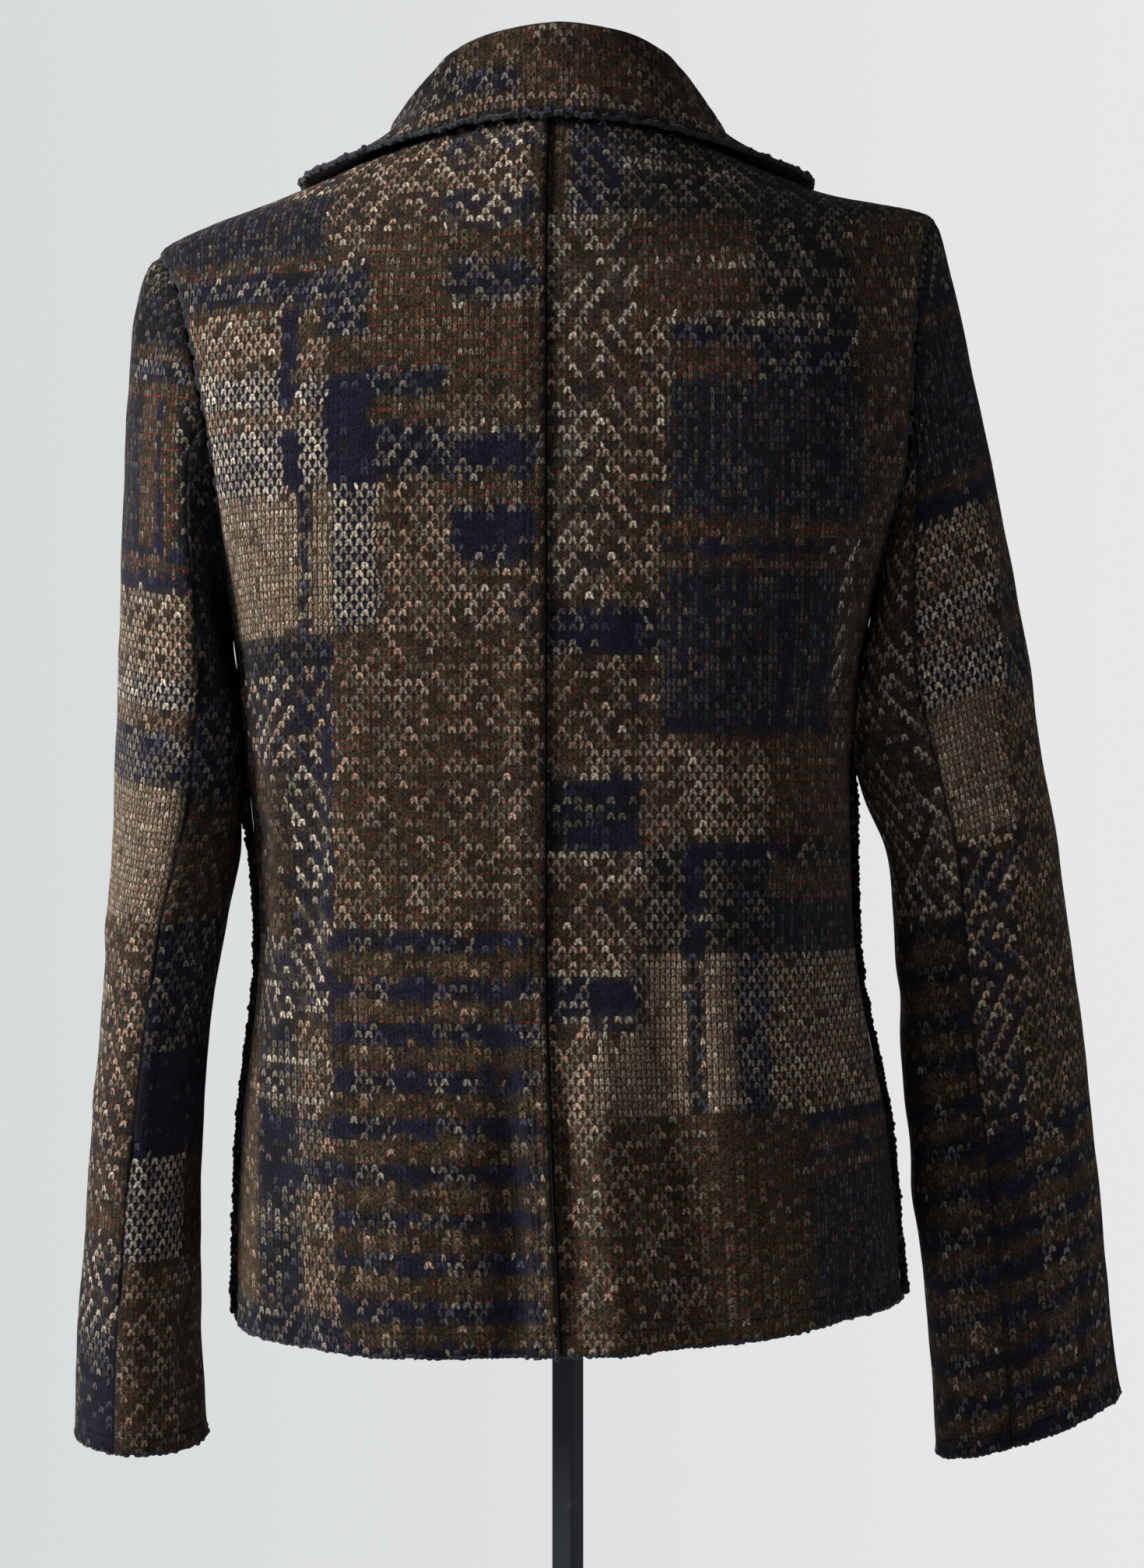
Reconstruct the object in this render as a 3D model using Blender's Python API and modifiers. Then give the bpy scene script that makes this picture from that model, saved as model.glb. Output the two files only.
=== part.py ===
"""A short coat of felted patchwork knit, buttoned on a limbless dress form with a pole and a round base.

The wearer's back faces +Y, the wearer's left is +X, and the floor is Z = 0 under the pole's axis.
The body of the coat is one surface of rings, from the hem up over the shoulders to the neck seam.
The panels are cut out of it along the seams, and every layer that lies on a panel is made from the
panel's own points moved out.  All sizes are in metres.
"""

import math

import bmesh
import bpy
import numpy as np

OBJECT_NAME = "short_coat_on_form"

# Cloth and seams
CLOTH = 0.0025  # thickness of the felted knit
GAP = 0.0003  # clearance between pieces that are sewn or laid together
SEAM_TRIM = 0.0002  # how far each edge is drawn in from a seam, for about that clearance when faceted
LAYER = CLOTH + GAP  # how far a layer on top of another is moved out
SEAM_LAP = 0.009  # how far the right back runs under the left one
LAP_FADE = 0.013  # length over which a lapped edge comes down to the panel
FRONT_LAP = 0.020  # reach of each front past the centre front
FRONT_FADE = 0.024
LAP_EASE = 0.0012  # how much further than the layer below a lapped layer stays lifted
FIN_REACH = 0.006  # side seam allowances, turned outwards and left raw
FIN_HALF = 0.0012
FIN_ROWS = 9  # the allowances stand out from the hem up to this row, and lie flat under the arm

# Rings of the coat's body.  Each level has its height at the back, at both sides and at the front,
# its reach to both sides, the place of the centre back seam, its depth to the back and front, the
# shift of its sides, how much lower its back hangs left than right, and how square it is (below
# zero it is pointed at the sides).
RING_COLUMNS = (
    "level", "back_z", "left_z", "right_z", "front_z", "left_x", "right_x",
    "seam_x", "back_y", "front_y", "side_y", "sway", "square",
)
RINGS = (
    ("hem", 0.0, 0.8005, 0.807, 0.817, 0.802, 0.174, -0.1755, 0.0037, 0.122, 0.134, 0.0, -0.008, 0.03),
    ("hip", 0.16, 0.895, 0.899, 0.904, 0.895, 0.1715, -0.1675, 0.008, 0.121, 0.134, 0.0, -0.003, 0.04),
    ("waist", 0.34, 1.005, 1.005, 1.005, 1.005, 0.1615, -0.1505, 0.0111, 0.106, 0.124, 0.0, 0.0, 0.05),
    ("ribs", 0.47, 1.085, 1.085, 1.085, 1.085, 0.1675, -0.148, 0.0111, 0.109, 0.129, 0.0, 0.0, 0.06),
    ("chest", 0.6, 1.178, 1.172, 1.18, 1.17, 0.1765, -0.16, 0.0111, 0.116, 0.135, 0.0, 0.0, 0.07),
    ("blade", 0.74, 1.264, 1.262, 1.264, 1.25, 0.197, -0.188, 0.0111, 0.117, 0.126, 0.0, 0.0, 0.05),
    ("yoke", 0.84, 1.328, 1.325, 1.333, 1.305, 0.212, -0.195, 0.0111, 0.109, 0.103, -0.002, 0.0, 0.0),
    ("tip", 0.9, 1.364, 1.363, 1.383, 1.333, 0.215, -0.1925, 0.0111, 0.099, 0.086, -0.004, 0.0, -0.06),
    ("slope", 0.95, 1.402, 1.3915, 1.3935, 1.352, 0.153, -0.1415, 0.0105, 0.084, 0.074, -0.002, 0.0, -0.04),
    ("neck", 1.0, 1.436, 1.419, 1.416, 1.37, 0.0828, -0.0735, 0.009, 0.064, 0.06, 0.003, 0.0, 0.0),
)
CHEST_LEVEL = 0.600
TIP_LEVEL = 0.900
LEVEL_STEP = 0.004  # steps along and round the rings for the surface's direction
ANGLE_STEP = 0.8
BREAK_LEVEL = 0.665  # the fronts are buttoned up to here, and open above
LAP_TOP_LEVEL = 0.690  # the right front lies level with the left one above here

# Soft standing folds: angle from the centre back at the hem and where the fold ends, the level at
# which it fades out, how far it stands out (in, below zero) at the hem, and its half width.
FOLD_FADE = 1.4  # how early a fold begins to fade below its end
FOLD_COLUMNS = ("hem_angle", "top_angle", "top_level", "depth", "width")
FOLDS = (
    (12.0, 10.0, 0.33, -0.0065, 6.5),
    (-7.0, -6.0, 0.36, 0.0060, 6.0),
    (-20.0, -17.0, 0.34, -0.0045, 5.5),
    (-31.0, -28.0, 0.40, 0.0040, 6.0),
    (28.0, 30.0, 0.30, 0.0050, 8.0),
    (50.0, 58.0, 0.42, -0.0045, 8.0),
    (-52.0, -60.0, 0.40, -0.0040, 8.0),
    (128.0, 124.0, 0.34, -0.0050, 9.0),
    (150.0, 146.0, 0.30, 0.0045, 8.0),
    (-126.0, -122.0, 0.36, -0.0045, 9.0),
    (-148.0, -144.0, 0.28, 0.0040, 8.0),
)

# Armholes, as the widest angle that each one cuts out of the back and of the front
ARMHOLE_BACK = 26.0
ARMHOLE_FRONT = 33.0
ARMHOLE_ROWS = 12
ARMHOLE_FULLNESS = 0.9  # below 1 the armhole is rounder than an ellipse

# Rows and columns of the panels
BODY_ROWS = 11  # hem to chest
NECK_ROWS = 4  # shoulder tip to neck
BACK_COLUMNS = 8
FRONT_COLUMNS = 8

# Roll line of the lapels, as the angle from the centre back at each level
ROLL_STRIPS = (0.0, 5.0, 10.0)  # columns of the front next to the roll line, in degrees
ROLL_COLUMNS = ("level", "angle")
ROLL = ((0.640, 179.0), (0.740, 171.5), (0.840, 165.0), (0.900, 159.0), (0.950, 147.0), (1.000, 118.0))
LAPEL_COLUMNS = ("level", "width")  # width in degrees out from the roll line
LAPEL = (
    (0.712, 3.5), (0.740, 9.5), (0.800, 18.5), (0.850, 26.0), (0.880, 31.5),
    (0.900, 27.5), (0.935, 19.5), (0.960, 12.0), (0.975, 4.0),
)
LAPEL_LEVELS = (0.712, 0.725, 0.740, 0.770, 0.800, 0.825, 0.850, 0.880, 0.900, 0.918, 0.935, 0.960, 0.975)
LAPEL_GAP = 0.0008
LAPEL_STRIPS = 3

# Collar, by the angle from the centre back: height of its fold over the neck seam, how far the fold
# leans out, and the level on the body at which its outer edge lies.
COLLAR_COLUMNS = ("angle", "stand", "lean", "edge_level")
COLLAR = (
    (0.0, 0.0385, 0.0080, 0.9800),
    (20.0, 0.0375, 0.0080, 0.9795),
    (35.0, 0.0345, 0.0085, 0.9775),
    (55.0, 0.0230, 0.0078, 0.9730),
    (75.0, 0.0155, 0.0075, 0.9660),
    (90.0, 0.0140, 0.0075, 0.9620),
    (110.0, 0.0110, 0.0060, 0.9560),
    (128.0, 0.0100, 0.0040, 0.9480),
)
COLLAR_END = 128.0
COLLAR_COLUMNS_COUNT = 26
COLLAR_FOLD = 0.0052  # outer radius of the fold
COLLAR_LIFT = 0.0072  # outer face of the fall's edge over the body
STAND_ROWS = 3
FOLD_ARC = (180.0, 120.0, 60.0, 0.0)
FALL_ROWS = 5
FALL_KNEE = 0.44  # how far down the fall drops straight before it flares over the shoulder

# Sleeves: centre height, centre, half width across and half depth of each ring, how far the ring is
# turned towards the body and its seams twisted round it, and how much its outer side and its back
# stand higher.
SLEEVE_COLUMNS = ("z", "x", "y", "half_width", "half_depth", "turn", "twist", "outer_rise", "back_rise")
LEFT_SLEEVE = (
    (1.130, 0.2040, 0.012, 0.0308, 0.0600, 13.0, 4.0, 0.012, 0.000),
    (1.090, 0.2040, 0.011, 0.0330, 0.0590, 10.0, 3.0, 0.006, 0.000),
    (1.056, 0.2050, 0.008, 0.0337, 0.0575, 5.0, 3.0, 0.002, 0.000),
    (1.006, 0.2111, 0.005, 0.0305, 0.0575, 0.0, 2.0, 0.000, 0.000),
    (0.965, 0.2160, 0.003, 0.0285, 0.0575, 0.0, 0.0, 0.000, 0.000),
    (0.924, 0.2195, 0.000, 0.0287, 0.0565, 0.0, -3.0, 0.000, 0.000),
    (0.883, 0.2229, -0.004, 0.0296, 0.0555, 0.0, -7.0, 0.000, -0.001),
    (0.841, 0.2245, -0.009, 0.0306, 0.0540, 0.0, -11.0, 0.000, -0.002),
    (0.790, 0.2265, -0.016, 0.0322, 0.0520, 0.0, -15.0, 0.000, -0.004),
    (0.743, 0.2262, -0.021, 0.0345, 0.0500, 0.0, -17.0, 0.001, -0.006),
)
RIGHT_SLEEVE = (
    (1.130, 0.1970, 0.015, 0.0450, 0.0560, 16.0, 2.0, 0.012, 0.000),
    (1.088, 0.2040, 0.011, 0.0448, 0.0530, 9.0, 6.0, 0.008, 0.000),
    (1.056, 0.2116, 0.008, 0.0440, 0.0510, 4.0, 12.0, 0.006, 0.000),
    (1.006, 0.2171, 0.005, 0.0452, 0.0480, 0.0, 16.0, 0.006, 0.000),
    (0.965, 0.2213, 0.003, 0.0470, 0.0455, 0.0, 16.0, 0.007, 0.000),
    (0.924, 0.2257, 0.000, 0.0479, 0.0435, 0.0, 15.0, 0.008, 0.000),
    (0.882, 0.2303, -0.004, 0.0479, 0.0420, 0.0, 14.0, 0.010, -0.001),
    (0.841, 0.2349, -0.009, 0.0475, 0.0410, 0.0, 14.0, 0.011, -0.002),
    (0.795, 0.2395, -0.015, 0.0476, 0.0395, 0.0, 14.0, 0.013, -0.004),
    (0.748, 0.2443, -0.021, 0.0484, 0.0380, 0.0, 14.0, 0.0165, -0.005),
)
CAP_ROWS = 6  # rows between the armhole and the first ring
CAP_START = {"left": 0.070, "right": 0.024}  # strength of the cap's start away from the armhole
CAP_END = 0.110  # strength of its end, down into the sleeve
CAP_SPREAD = 0.35  # how much the cap's start opens round the armhole, and how much it droops
CAP_LIMITS = (0.8, 0.9)  # share of the cap's length that each strength may reach
CAP_DROP = 0.010  # stretch of sleeve that gives the cap's end its direction
SLEEVE_ROWS = 11
SLEEVE_COUNT = 2 * ARMHOLE_ROWS
BACK_SEAM = 6  # column of the sleeve's back seam, counted from the shoulder tip
FRONT_SEAM = 17

# Buttons on the right front
BUTTON_LEVELS = (0.600, 0.430, 0.255)
BUTTON_RADIUS = 0.0115
BUTTON_HEIGHT = 0.0042
BUTTON_BEVEL = 0.0011
BUTTON_SIDES = 28

# Dress form: level, how far its skin lies inside the cloth's inner face, and more at the sides
FORM_COLUMNS = ("level", "clearance", "side_clearance")
FORM = (
    (0.080, 0.0200, 0.000), (0.200, 0.0160, 0.000), (0.340, 0.0110, 0.000), (0.470, 0.0080, 0.000),
    (0.600, 0.0060, 0.002), (0.700, 0.0045, 0.012), (0.800, 0.0030, 0.013), (0.860, 0.0024, 0.007),
    (0.900, 0.0020, 0.002), (0.930, 0.0018, 0.000), (0.960, 0.0018, 0.000), (0.985, 0.0026, 0.000),
)
FORM_COUNT = 40
FORM_ROWS = 26
FORM_BOTTOM = 0.846
FORM_TUCK = 0.92
NECK_CENTRE = (0.009, 0.004)
NECK_HALF_WIDTH = 0.056
NECK_HALF_DEPTH = 0.052
NECK_TOP = 1.4400
NECK_RISE_ROWS = 4
NECK_FULLNESS = 0.8
CAP_RADIUS = 0.048
CAP_HEIGHT = 0.011
CAP_BEVEL = 0.0045

# Stand
POLE_SIDE = 0.0127
POLE_BEVEL = 0.0014
POLE_TURN = -31.5  # degrees
BASE_RADIUS = 0.185
BASE_HEIGHT = 0.008
BASE_BEVEL = 0.002
BOSS_RADIUS = 0.024
BOSS_HEIGHT = 0.022
SOCKET_RADIUS = 0.021
SOCKET_HEIGHT = 0.024
TURN_STEPS = 56

# Colours and finishes
KNIT_FACE = (0.10, 0.085, 0.065)
KNIT_REVERSE = (0.012, 0.012, 0.016)
KNIT_ROUGHNESS = 0.95
JERSEY = (0.015, 0.015, 0.017)
HORN = (0.020, 0.016, 0.014)
BLACK_PAINT = (0.018, 0.020, 0.024)
PAINT_ROUGHNESS = 0.35


def table(columns, rows):
    """Returns the rows of numbers as one array for each named column."""
    start = len(rows[0]) - len(columns)
    return {name: np.array([row[start + i] for row in rows]) for i, name in enumerate(columns)}


def smooth(xs, ys, x):
    """Returns the value at x of a curve through the points that never swings past them."""
    steps = np.diff(xs)
    slopes = np.diff(ys) / steps
    tangents = np.zeros(len(xs))
    for i in range(1, len(xs) - 1):
        if slopes[i - 1] * slopes[i] > 0:
            first = 2 * steps[i] + steps[i - 1]
            last = steps[i] + 2 * steps[i - 1]
            tangents[i] = (first + last) / (first / slopes[i - 1] + last / slopes[i])
    tangents[0] = slopes[0]
    tangents[-1] = slopes[-1]
    i = int(np.clip(np.searchsorted(xs, x) - 1, 0, len(xs) - 2))
    t = min(max((x - xs[i]) / steps[i], 0.0), 1.0)
    rise = ys[i] * (1 + 2 * t) * (1 - t) ** 2 + ys[i + 1] * t * t * (3 - 2 * t)
    return rise + steps[i] * (tangents[i] * t * (1 - t) ** 2 - tangents[i + 1] * t * t * (1 - t))


def ramp(x):
    """Returns a soft step from 0 at x = 0 to 1 at x = 1."""
    x = min(max(x, 0.0), 1.0)
    return x * x * (3 - 2 * x)


RING = table(RING_COLUMNS, RINGS)
FOLD = table(FOLD_COLUMNS, FOLDS)
ROLL_TABLE = table(ROLL_COLUMNS, ROLL)
LAPEL_TABLE = table(LAPEL_COLUMNS, LAPEL)
COLLAR_TABLE = table(COLLAR_COLUMNS, COLLAR)
FORM_TABLE = table(FORM_COLUMNS, FORM)


def ring(column, level):
    """Returns a named size of the body's ring at a level."""
    return smooth(RING["level"], RING[column], level)


def fold_height(angle, level):
    """Returns how far the standing folds move the cloth out at a place on the body."""
    height = 0.0
    for i in range(len(FOLDS)):
        along = level / FOLD["top_level"][i]
        if along < 1:
            centre = FOLD["hem_angle"][i] + (FOLD["top_angle"][i] - FOLD["hem_angle"][i]) * along
            away = ((angle - centre + 180.0) % 360.0 - 180.0) / FOLD["width"][i]
            height += FOLD["depth"][i] * math.exp(-away * away) * ramp(FOLD_FADE * (1 - along))
    return height


def ring_point(angle, level, folded=True):
    """Returns the outer face of the cloth; angles are in degrees from the centre back to the left."""
    turn = math.radians(angle)
    side, back = math.sin(turn), math.cos(turn)
    square = ring("square", level)
    left_x, right_x = ring("left_x", level), ring("right_x", level)
    middle, half = (left_x + right_x) / 2, (left_x - right_x) / 2
    stretch = 1 if not folded else 1 + fold_height(angle, level) / half
    x = middle + stretch * half * (side + square * math.sin(3 * turn)) / (1 - square)
    depth = ring("back_y" if back > 0 else "front_y", level)
    side_y = ring("side_y", level)
    reach = depth * (back - square * math.cos(3 * turn)) / (1 - square)
    y = side_y + stretch * (reach - side_y * abs(back))
    left_z, right_z = ring("left_z", level), ring("right_z", level)
    side_z = (left_z + right_z) / 2 + (left_z - right_z) / 2 * side
    end_z = ring("back_z" if back > 0 else "front_z", level)
    sway = ring("sway", level) * side * max(back, 0.0)
    return np.array((x, y, side_z + (end_z - side_z) * back * back + sway))


def ring_normal(angle, level, folded=True):
    """Returns the outward direction of the body's surface."""
    low, high = max(level - LEVEL_STEP, 0.0), min(level + LEVEL_STEP, 1.0)
    up = ring_point(angle, high, folded) - ring_point(angle, low, folded)
    around = ring_point(angle + ANGLE_STEP, level, folded) - ring_point(angle - ANGLE_STEP, level, folded)
    normal = np.cross(up, around)
    return normal / np.linalg.norm(normal)


def body_point(angle, level, lift=0.0):
    """Returns a point of the coat's body moved out along the surface's normal."""
    return ring_point(angle, level) + lift * ring_normal(angle, level)


def angle_at(x, level, front=False):
    """Returns the angle at which a ring's back, or front, stands at x."""
    low, high = (90.0, 270.0) if front else (-90.0, 90.0)
    for _ in range(40):
        middle = (low + high) / 2
        past = ring_point(middle, level, folded=False)[0] > x
        if past != front:
            high = middle
        else:
            low = middle
    return (low + high) / 2


def body_levels():
    """Returns the levels of the panels' rows from the hem to the neck."""
    below = [CHEST_LEVEL * i / BODY_ROWS for i in range(BODY_ROWS)]
    reach = TIP_LEVEL - CHEST_LEVEL
    turns = [math.pi * i / ARMHOLE_ROWS for i in range(ARMHOLE_ROWS)]
    along = [CHEST_LEVEL + reach * (1 - math.cos(turn)) / 2 for turn in turns]
    above = [TIP_LEVEL + (1 - TIP_LEVEL) * i / NECK_ROWS for i in range(NECK_ROWS + 1)]
    return below + along + above


def armhole_angle(level, widest):
    """Returns the angle of a panel's outer edge: the side seam, the armhole or the shoulder seam."""
    if level <= CHEST_LEVEL or level >= TIP_LEVEL:
        return 90.0
    along = math.acos(1 - 2 * (level - CHEST_LEVEL) / (TIP_LEVEL - CHEST_LEVEL))
    return 90.0 - widest * math.sin(along) ** ARMHOLE_FULLNESS


def clear_scene():
    """Removes the objects of the open scene."""
    for thing in list(bpy.data.objects):
        bpy.data.objects.remove(thing, do_unlink=True)


def finish(name, colour, roughness, metallic=0.0):
    """Returns a plain material."""
    material = bpy.data.materials.new(name)
    material.use_nodes = True
    shader = material.node_tree.nodes["Principled BSDF"]
    shader.inputs["Base Color"].default_value = (*colour, 1.0)
    shader.inputs["Roughness"].default_value = roughness
    shader.inputs["Metallic"].default_value = metallic
    return material


def cloth_finish(name):
    """Returns a plain material in the cloth's mean colour for one piece of the coat."""
    return finish(f"{name}_cloth", KNIT_FACE, KNIT_ROUGHNESS)


def add_object(name, mesh, collection, material):
    """Adds a mesh as a named object with its own material."""
    thing = bpy.data.objects.new(name, mesh)
    thing.data.materials.append(material)
    collection.objects.link(thing)
    return thing


def adopt(thing, name, collection, material):
    """Names an object that an operator has just made and moves it to the part's collection."""
    thing.name = name
    thing.data.name = name
    thing.data.materials.append(material)
    for holder in list(thing.users_collection):
        holder.objects.unlink(thing)
    collection.objects.link(thing)
    return thing


GRID_SIDES = {  # edge line, the line next to it, and the axis that they run across
    "last_row": (-1, -2, 0),
    "first_column": (0, 1, 1),
    "last_column": (-1, -2, 1),
}


def trimmed(grid, sides):
    """Returns a grid of points whose named sides are drawn in from their seams."""
    result = np.array(grid, dtype=float)
    for side in sides:
        edge, inner, axis = GRID_SIDES[side]
        rim = np.take(result, edge, axis=axis)
        step = np.take(result, inner, axis=axis) - rim
        rim = rim + SEAM_TRIM * step / np.linalg.norm(step, axis=1, keepdims=True)
        if axis == 0:
            result[edge] = rim
        else:
            result[:, edge] = rim
    return result


def grid_normals(grid, closed):
    """Returns the normals of a grid whose rows run one way and columns the other, columns x rows."""
    along = np.gradient(grid, axis=0)
    if closed:
        around = (np.roll(grid, -1, axis=1) - np.roll(grid, 1, axis=1)) / 2
    else:
        around = np.gradient(grid, axis=1)
    normals = np.cross(around, along)
    return normals / np.linalg.norm(normals, axis=2, keepdims=True)


def wall(name, outer, inner, collection, material):
    """Makes a closed wall of cloth between an outer and an inner grid of points."""
    rows, columns = outer.shape[:2]
    mesh = bpy.data.meshes.new(name)
    build = bmesh.new()
    faces = []
    sheets = []
    for grid in (outer, inner):
        sheets.append([[build.verts.new(point) for point in row] for row in grid])
    for sheet, turned in zip(sheets, (False, True)):
        for i in range(rows - 1):
            for j in range(columns - 1):
                corners = [sheet[i][j], sheet[i][j + 1], sheet[i + 1][j + 1], sheet[i + 1][j]]
                faces.append(corners[::-1] if turned else corners)
    rim = [(0, j) for j in range(columns)] + [(i, columns - 1) for i in range(1, rows)]
    rim += [(rows - 1, j) for j in range(columns - 2, -1, -1)] + [(i, 0) for i in range(rows - 2, 0, -1)]
    # The edges are split from the same corners on both sides of a seam, so that twisted ones still match.
    for here, there in zip(rim, rim[1:] + rim[:1]):
        low, high = sorted((here, there), key=sum)
        top_low, base_low = (sheet[low[0]][low[1]] for sheet in sheets)
        top_high, base_high = (sheet[high[0]][high[1]] for sheet in sheets)
        faces.append([top_low, top_high, base_low])
        faces.append([top_high, base_high, base_low])
    for corners in faces:
        build.faces.new(corners)
    bmesh.ops.recalc_face_normals(build, faces=build.faces)
    build.to_mesh(mesh)
    build.free()
    return add_object(name, mesh, collection, material)


def solid_of_rings(name, rings, collection, material):
    """Makes a closed solid through rings with the same number of points."""
    mesh = bpy.data.meshes.new(name)
    build = bmesh.new()
    loops = [[build.verts.new(point) for point in points] for points in rings]
    count = len(loops[0])
    for low, high in zip(loops, loops[1:]):
        for j in range(count):
            k = (j + 1) % count
            build.faces.new((low[j], low[k], high[k], high[j]))
    build.faces.new(loops[0][::-1])
    build.faces.new(loops[-1])
    bmesh.ops.recalc_face_normals(build, faces=build.faces)
    build.to_mesh(mesh)
    build.free()
    return add_object(name, mesh, collection, material)


def back_panel(name, side, collection, material):
    """Makes half of the back; the left half laps over the right one at the centre back seam."""
    outer, inner = [], []
    for level in body_levels():
        seam = angle_at(ring("seam_x", level), level)
        edge = side * armhole_angle(level, ARMHOLE_BACK)
        degree = ring_point(seam + 0.5, level)[0] - ring_point(seam - 0.5, level)[0]
        lap = SEAM_LAP + LAP_EASE
        if side > 0:
            near = [(0.0, LAYER), (lap, LAYER), (lap + LAP_FADE, 0.0)]
        else:
            near = [(SEAM_LAP, 0.0), (SEAM_LAP / 2, 0.0), (0.0, 0.0)]
        places = [(seam + distance / degree, lift) for distance, lift in near]
        start = places[-1][0]
        rest = BACK_COLUMNS - 1
        places += [(start + (edge - start) * i / rest, 0.0) for i in range(1, rest + 1)]
        outer.append([body_point(angle, level, lift) for angle, lift in places])
        inner.append([body_point(angle, level, lift - CLOTH) for angle, lift in places])
    sides = ("last_row", "last_column")
    return wall(name, trimmed(outer, sides), trimmed(inner, sides), collection, material)


def roll_angle(level):
    """Returns the angle of the left roll line at a level."""
    return smooth(ROLL_TABLE["level"], ROLL_TABLE["angle"], level)


def front_panel(name, side, collection, material):
    """Makes a front up to its roll line; the right front laps over the left one."""
    outer, inner = [], []
    for level in body_levels():
        edge = armhole_angle(level, ARMHOLE_FRONT)
        outer_angle = side * (180.0 - edge)
        if level < BREAK_LEVEL:
            reaches = (-FRONT_LAP, FRONT_LAP + LAP_EASE, FRONT_LAP + FRONT_FADE)
            stops = [angle_at(x * side, level, front=True) for x in reaches]
            if side < 0:
                stops = [angle - 360.0 for angle in stops]
        else:
            stops = [side * (roll_angle(level) - degrees) for degrees in ROLL_STRIPS]
        lift = LAYER if side < 0 and level < LAP_TOP_LEVEL else 0.0
        places = [(stops[0], lift), (stops[1], lift), (stops[2], 0.0)]
        rest = FRONT_COLUMNS - 1
        places += [(stops[2] + (outer_angle - stops[2]) * i / rest, 0.0) for i in range(1, rest + 1)]
        outer.append([body_point(angle, level, lift) for angle, lift in places])
        inner.append([body_point(angle, level, lift - CLOTH) for angle, lift in places])
    sides = ("last_row", "last_column")
    return wall(name, trimmed(outer, sides), trimmed(inner, sides), collection, material)


def lapel(name, side, collection, material):
    """Makes the turned part of a front, which lies on the front from the roll line outwards."""
    outer, inner = [], []
    for level in LAPEL_LEVELS:
        start = roll_angle(level)
        width = smooth(LAPEL_TABLE["level"], LAPEL_TABLE["width"], level)
        angles = [side * (start - width * j / LAPEL_STRIPS) for j in range(LAPEL_STRIPS + 1)]
        outer.append([body_point(angle, level, LAPEL_GAP + CLOTH) for angle in angles])
        inner.append([body_point(angle, level, LAPEL_GAP) for angle in angles])
    return wall(name, np.array(outer), np.array(inner), collection, material)


def collar_section(angle):
    """Returns the collar's visible and hidden faces across one section, from the neck seam to its edge."""
    away = abs(angle)
    stand = smooth(COLLAR_TABLE["angle"], COLLAR_TABLE["stand"], away)
    lean = smooth(COLLAR_TABLE["angle"], COLLAR_TABLE["lean"], away)
    edge_level = smooth(COLLAR_TABLE["angle"], COLLAR_TABLE["edge_level"], away)
    seam = ring_point(angle, 1.0)
    middle_x = (ring("left_x", 1.0) + ring("right_x", 1.0)) / 2
    outward = np.array((seam[0] - middle_x, seam[1] - NECK_CENTRE[1], 0.0))
    outward /= np.linalg.norm(outward)
    up = np.array((0.0, 0.0, 1.0))
    hub = seam + outward * (lean - CLOTH) + up * (stand - COLLAR_FOLD)
    start = seam - outward * LAYER + up * GAP
    visible = [start + (hub - outward * COLLAR_FOLD - start) * i / STAND_ROWS for i in range(STAND_ROWS)]
    hidden = [point + outward * CLOTH for point in visible]
    for turn in FOLD_ARC:
        spoke = outward * math.cos(math.radians(turn)) + up * math.sin(math.radians(turn))
        visible.append(hub + spoke * COLLAR_FOLD)
        hidden.append(hub + spoke * (COLLAR_FOLD - CLOTH))
    edge = ring_point(angle, edge_level, folded=False)
    normal = ring_normal(angle, edge_level, folded=False)
    top_out, top_in = visible[-1], hidden[-1]
    low_out, low_in = edge + normal * COLLAR_LIFT, edge + normal * (COLLAR_LIFT - CLOTH)
    drop = top_out[2] - low_out[2]
    for i in range(1, FALL_ROWS + 1):
        t = i / FALL_ROWS
        for points, top, low in ((visible, top_out, low_out), (hidden, top_in, low_in)):
            knee = top - up * drop * FALL_KNEE
            points.append(top * (1 - t) ** 2 + knee * 2 * t * (1 - t) + low * t * t)
    return visible, hidden


def collar(name, collection, material):
    """Makes the collar, stand and fall in one, from one notch round the neck to the other."""
    visible, hidden = [], []
    for i in range(COLLAR_COLUMNS_COUNT + 1):
        near, far = collar_section(-COLLAR_END + 2 * COLLAR_END * i / COLLAR_COLUMNS_COUNT)
        visible.append(near)
        hidden.append(far)
    return wall(name, np.array(visible), np.array(hidden), collection, material)


def armhole_loop(side):
    """Returns the armhole's points, from the shoulder tip down the back and up the front."""
    reach = TIP_LEVEL - CHEST_LEVEL
    points = []
    for k in range(SLEEVE_COUNT):
        down = math.cos(math.pi * k / ARMHOLE_ROWS)
        level = CHEST_LEVEL + reach * (1 + down) / 2
        at_back = k <= ARMHOLE_ROWS
        edge = armhole_angle(level, ARMHOLE_BACK if at_back else ARMHOLE_FRONT)
        if k % ARMHOLE_ROWS == 0:
            edge = 90.0
        angle = side * (edge if at_back else 180.0 - edge)
        points.append(body_point(angle, level))
    return np.array(points)


def sleeve_ring(values, side):
    """Returns the points of one sleeve ring, from its outer side over the back to the inner side."""
    points = []
    for k in range(SLEEVE_COUNT):
        round_ring = 2 * math.pi * k / SLEEVE_COUNT + math.radians(values["twist"])
        out, back = math.cos(round_ring), math.sin(round_ring)
        across, deep = values["half_width"] * out, values["half_depth"] * back
        turn = math.radians(values["turn"])
        x = side * (values["x"] + across * math.cos(turn) - deep * math.sin(turn))
        y = values["y"] + across * math.sin(turn) + deep * math.cos(turn)
        z = values["z"] + values["outer_rise"] * out + values["back_rise"] * back
        points.append((x, y, z))
    return np.array(points)


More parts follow.
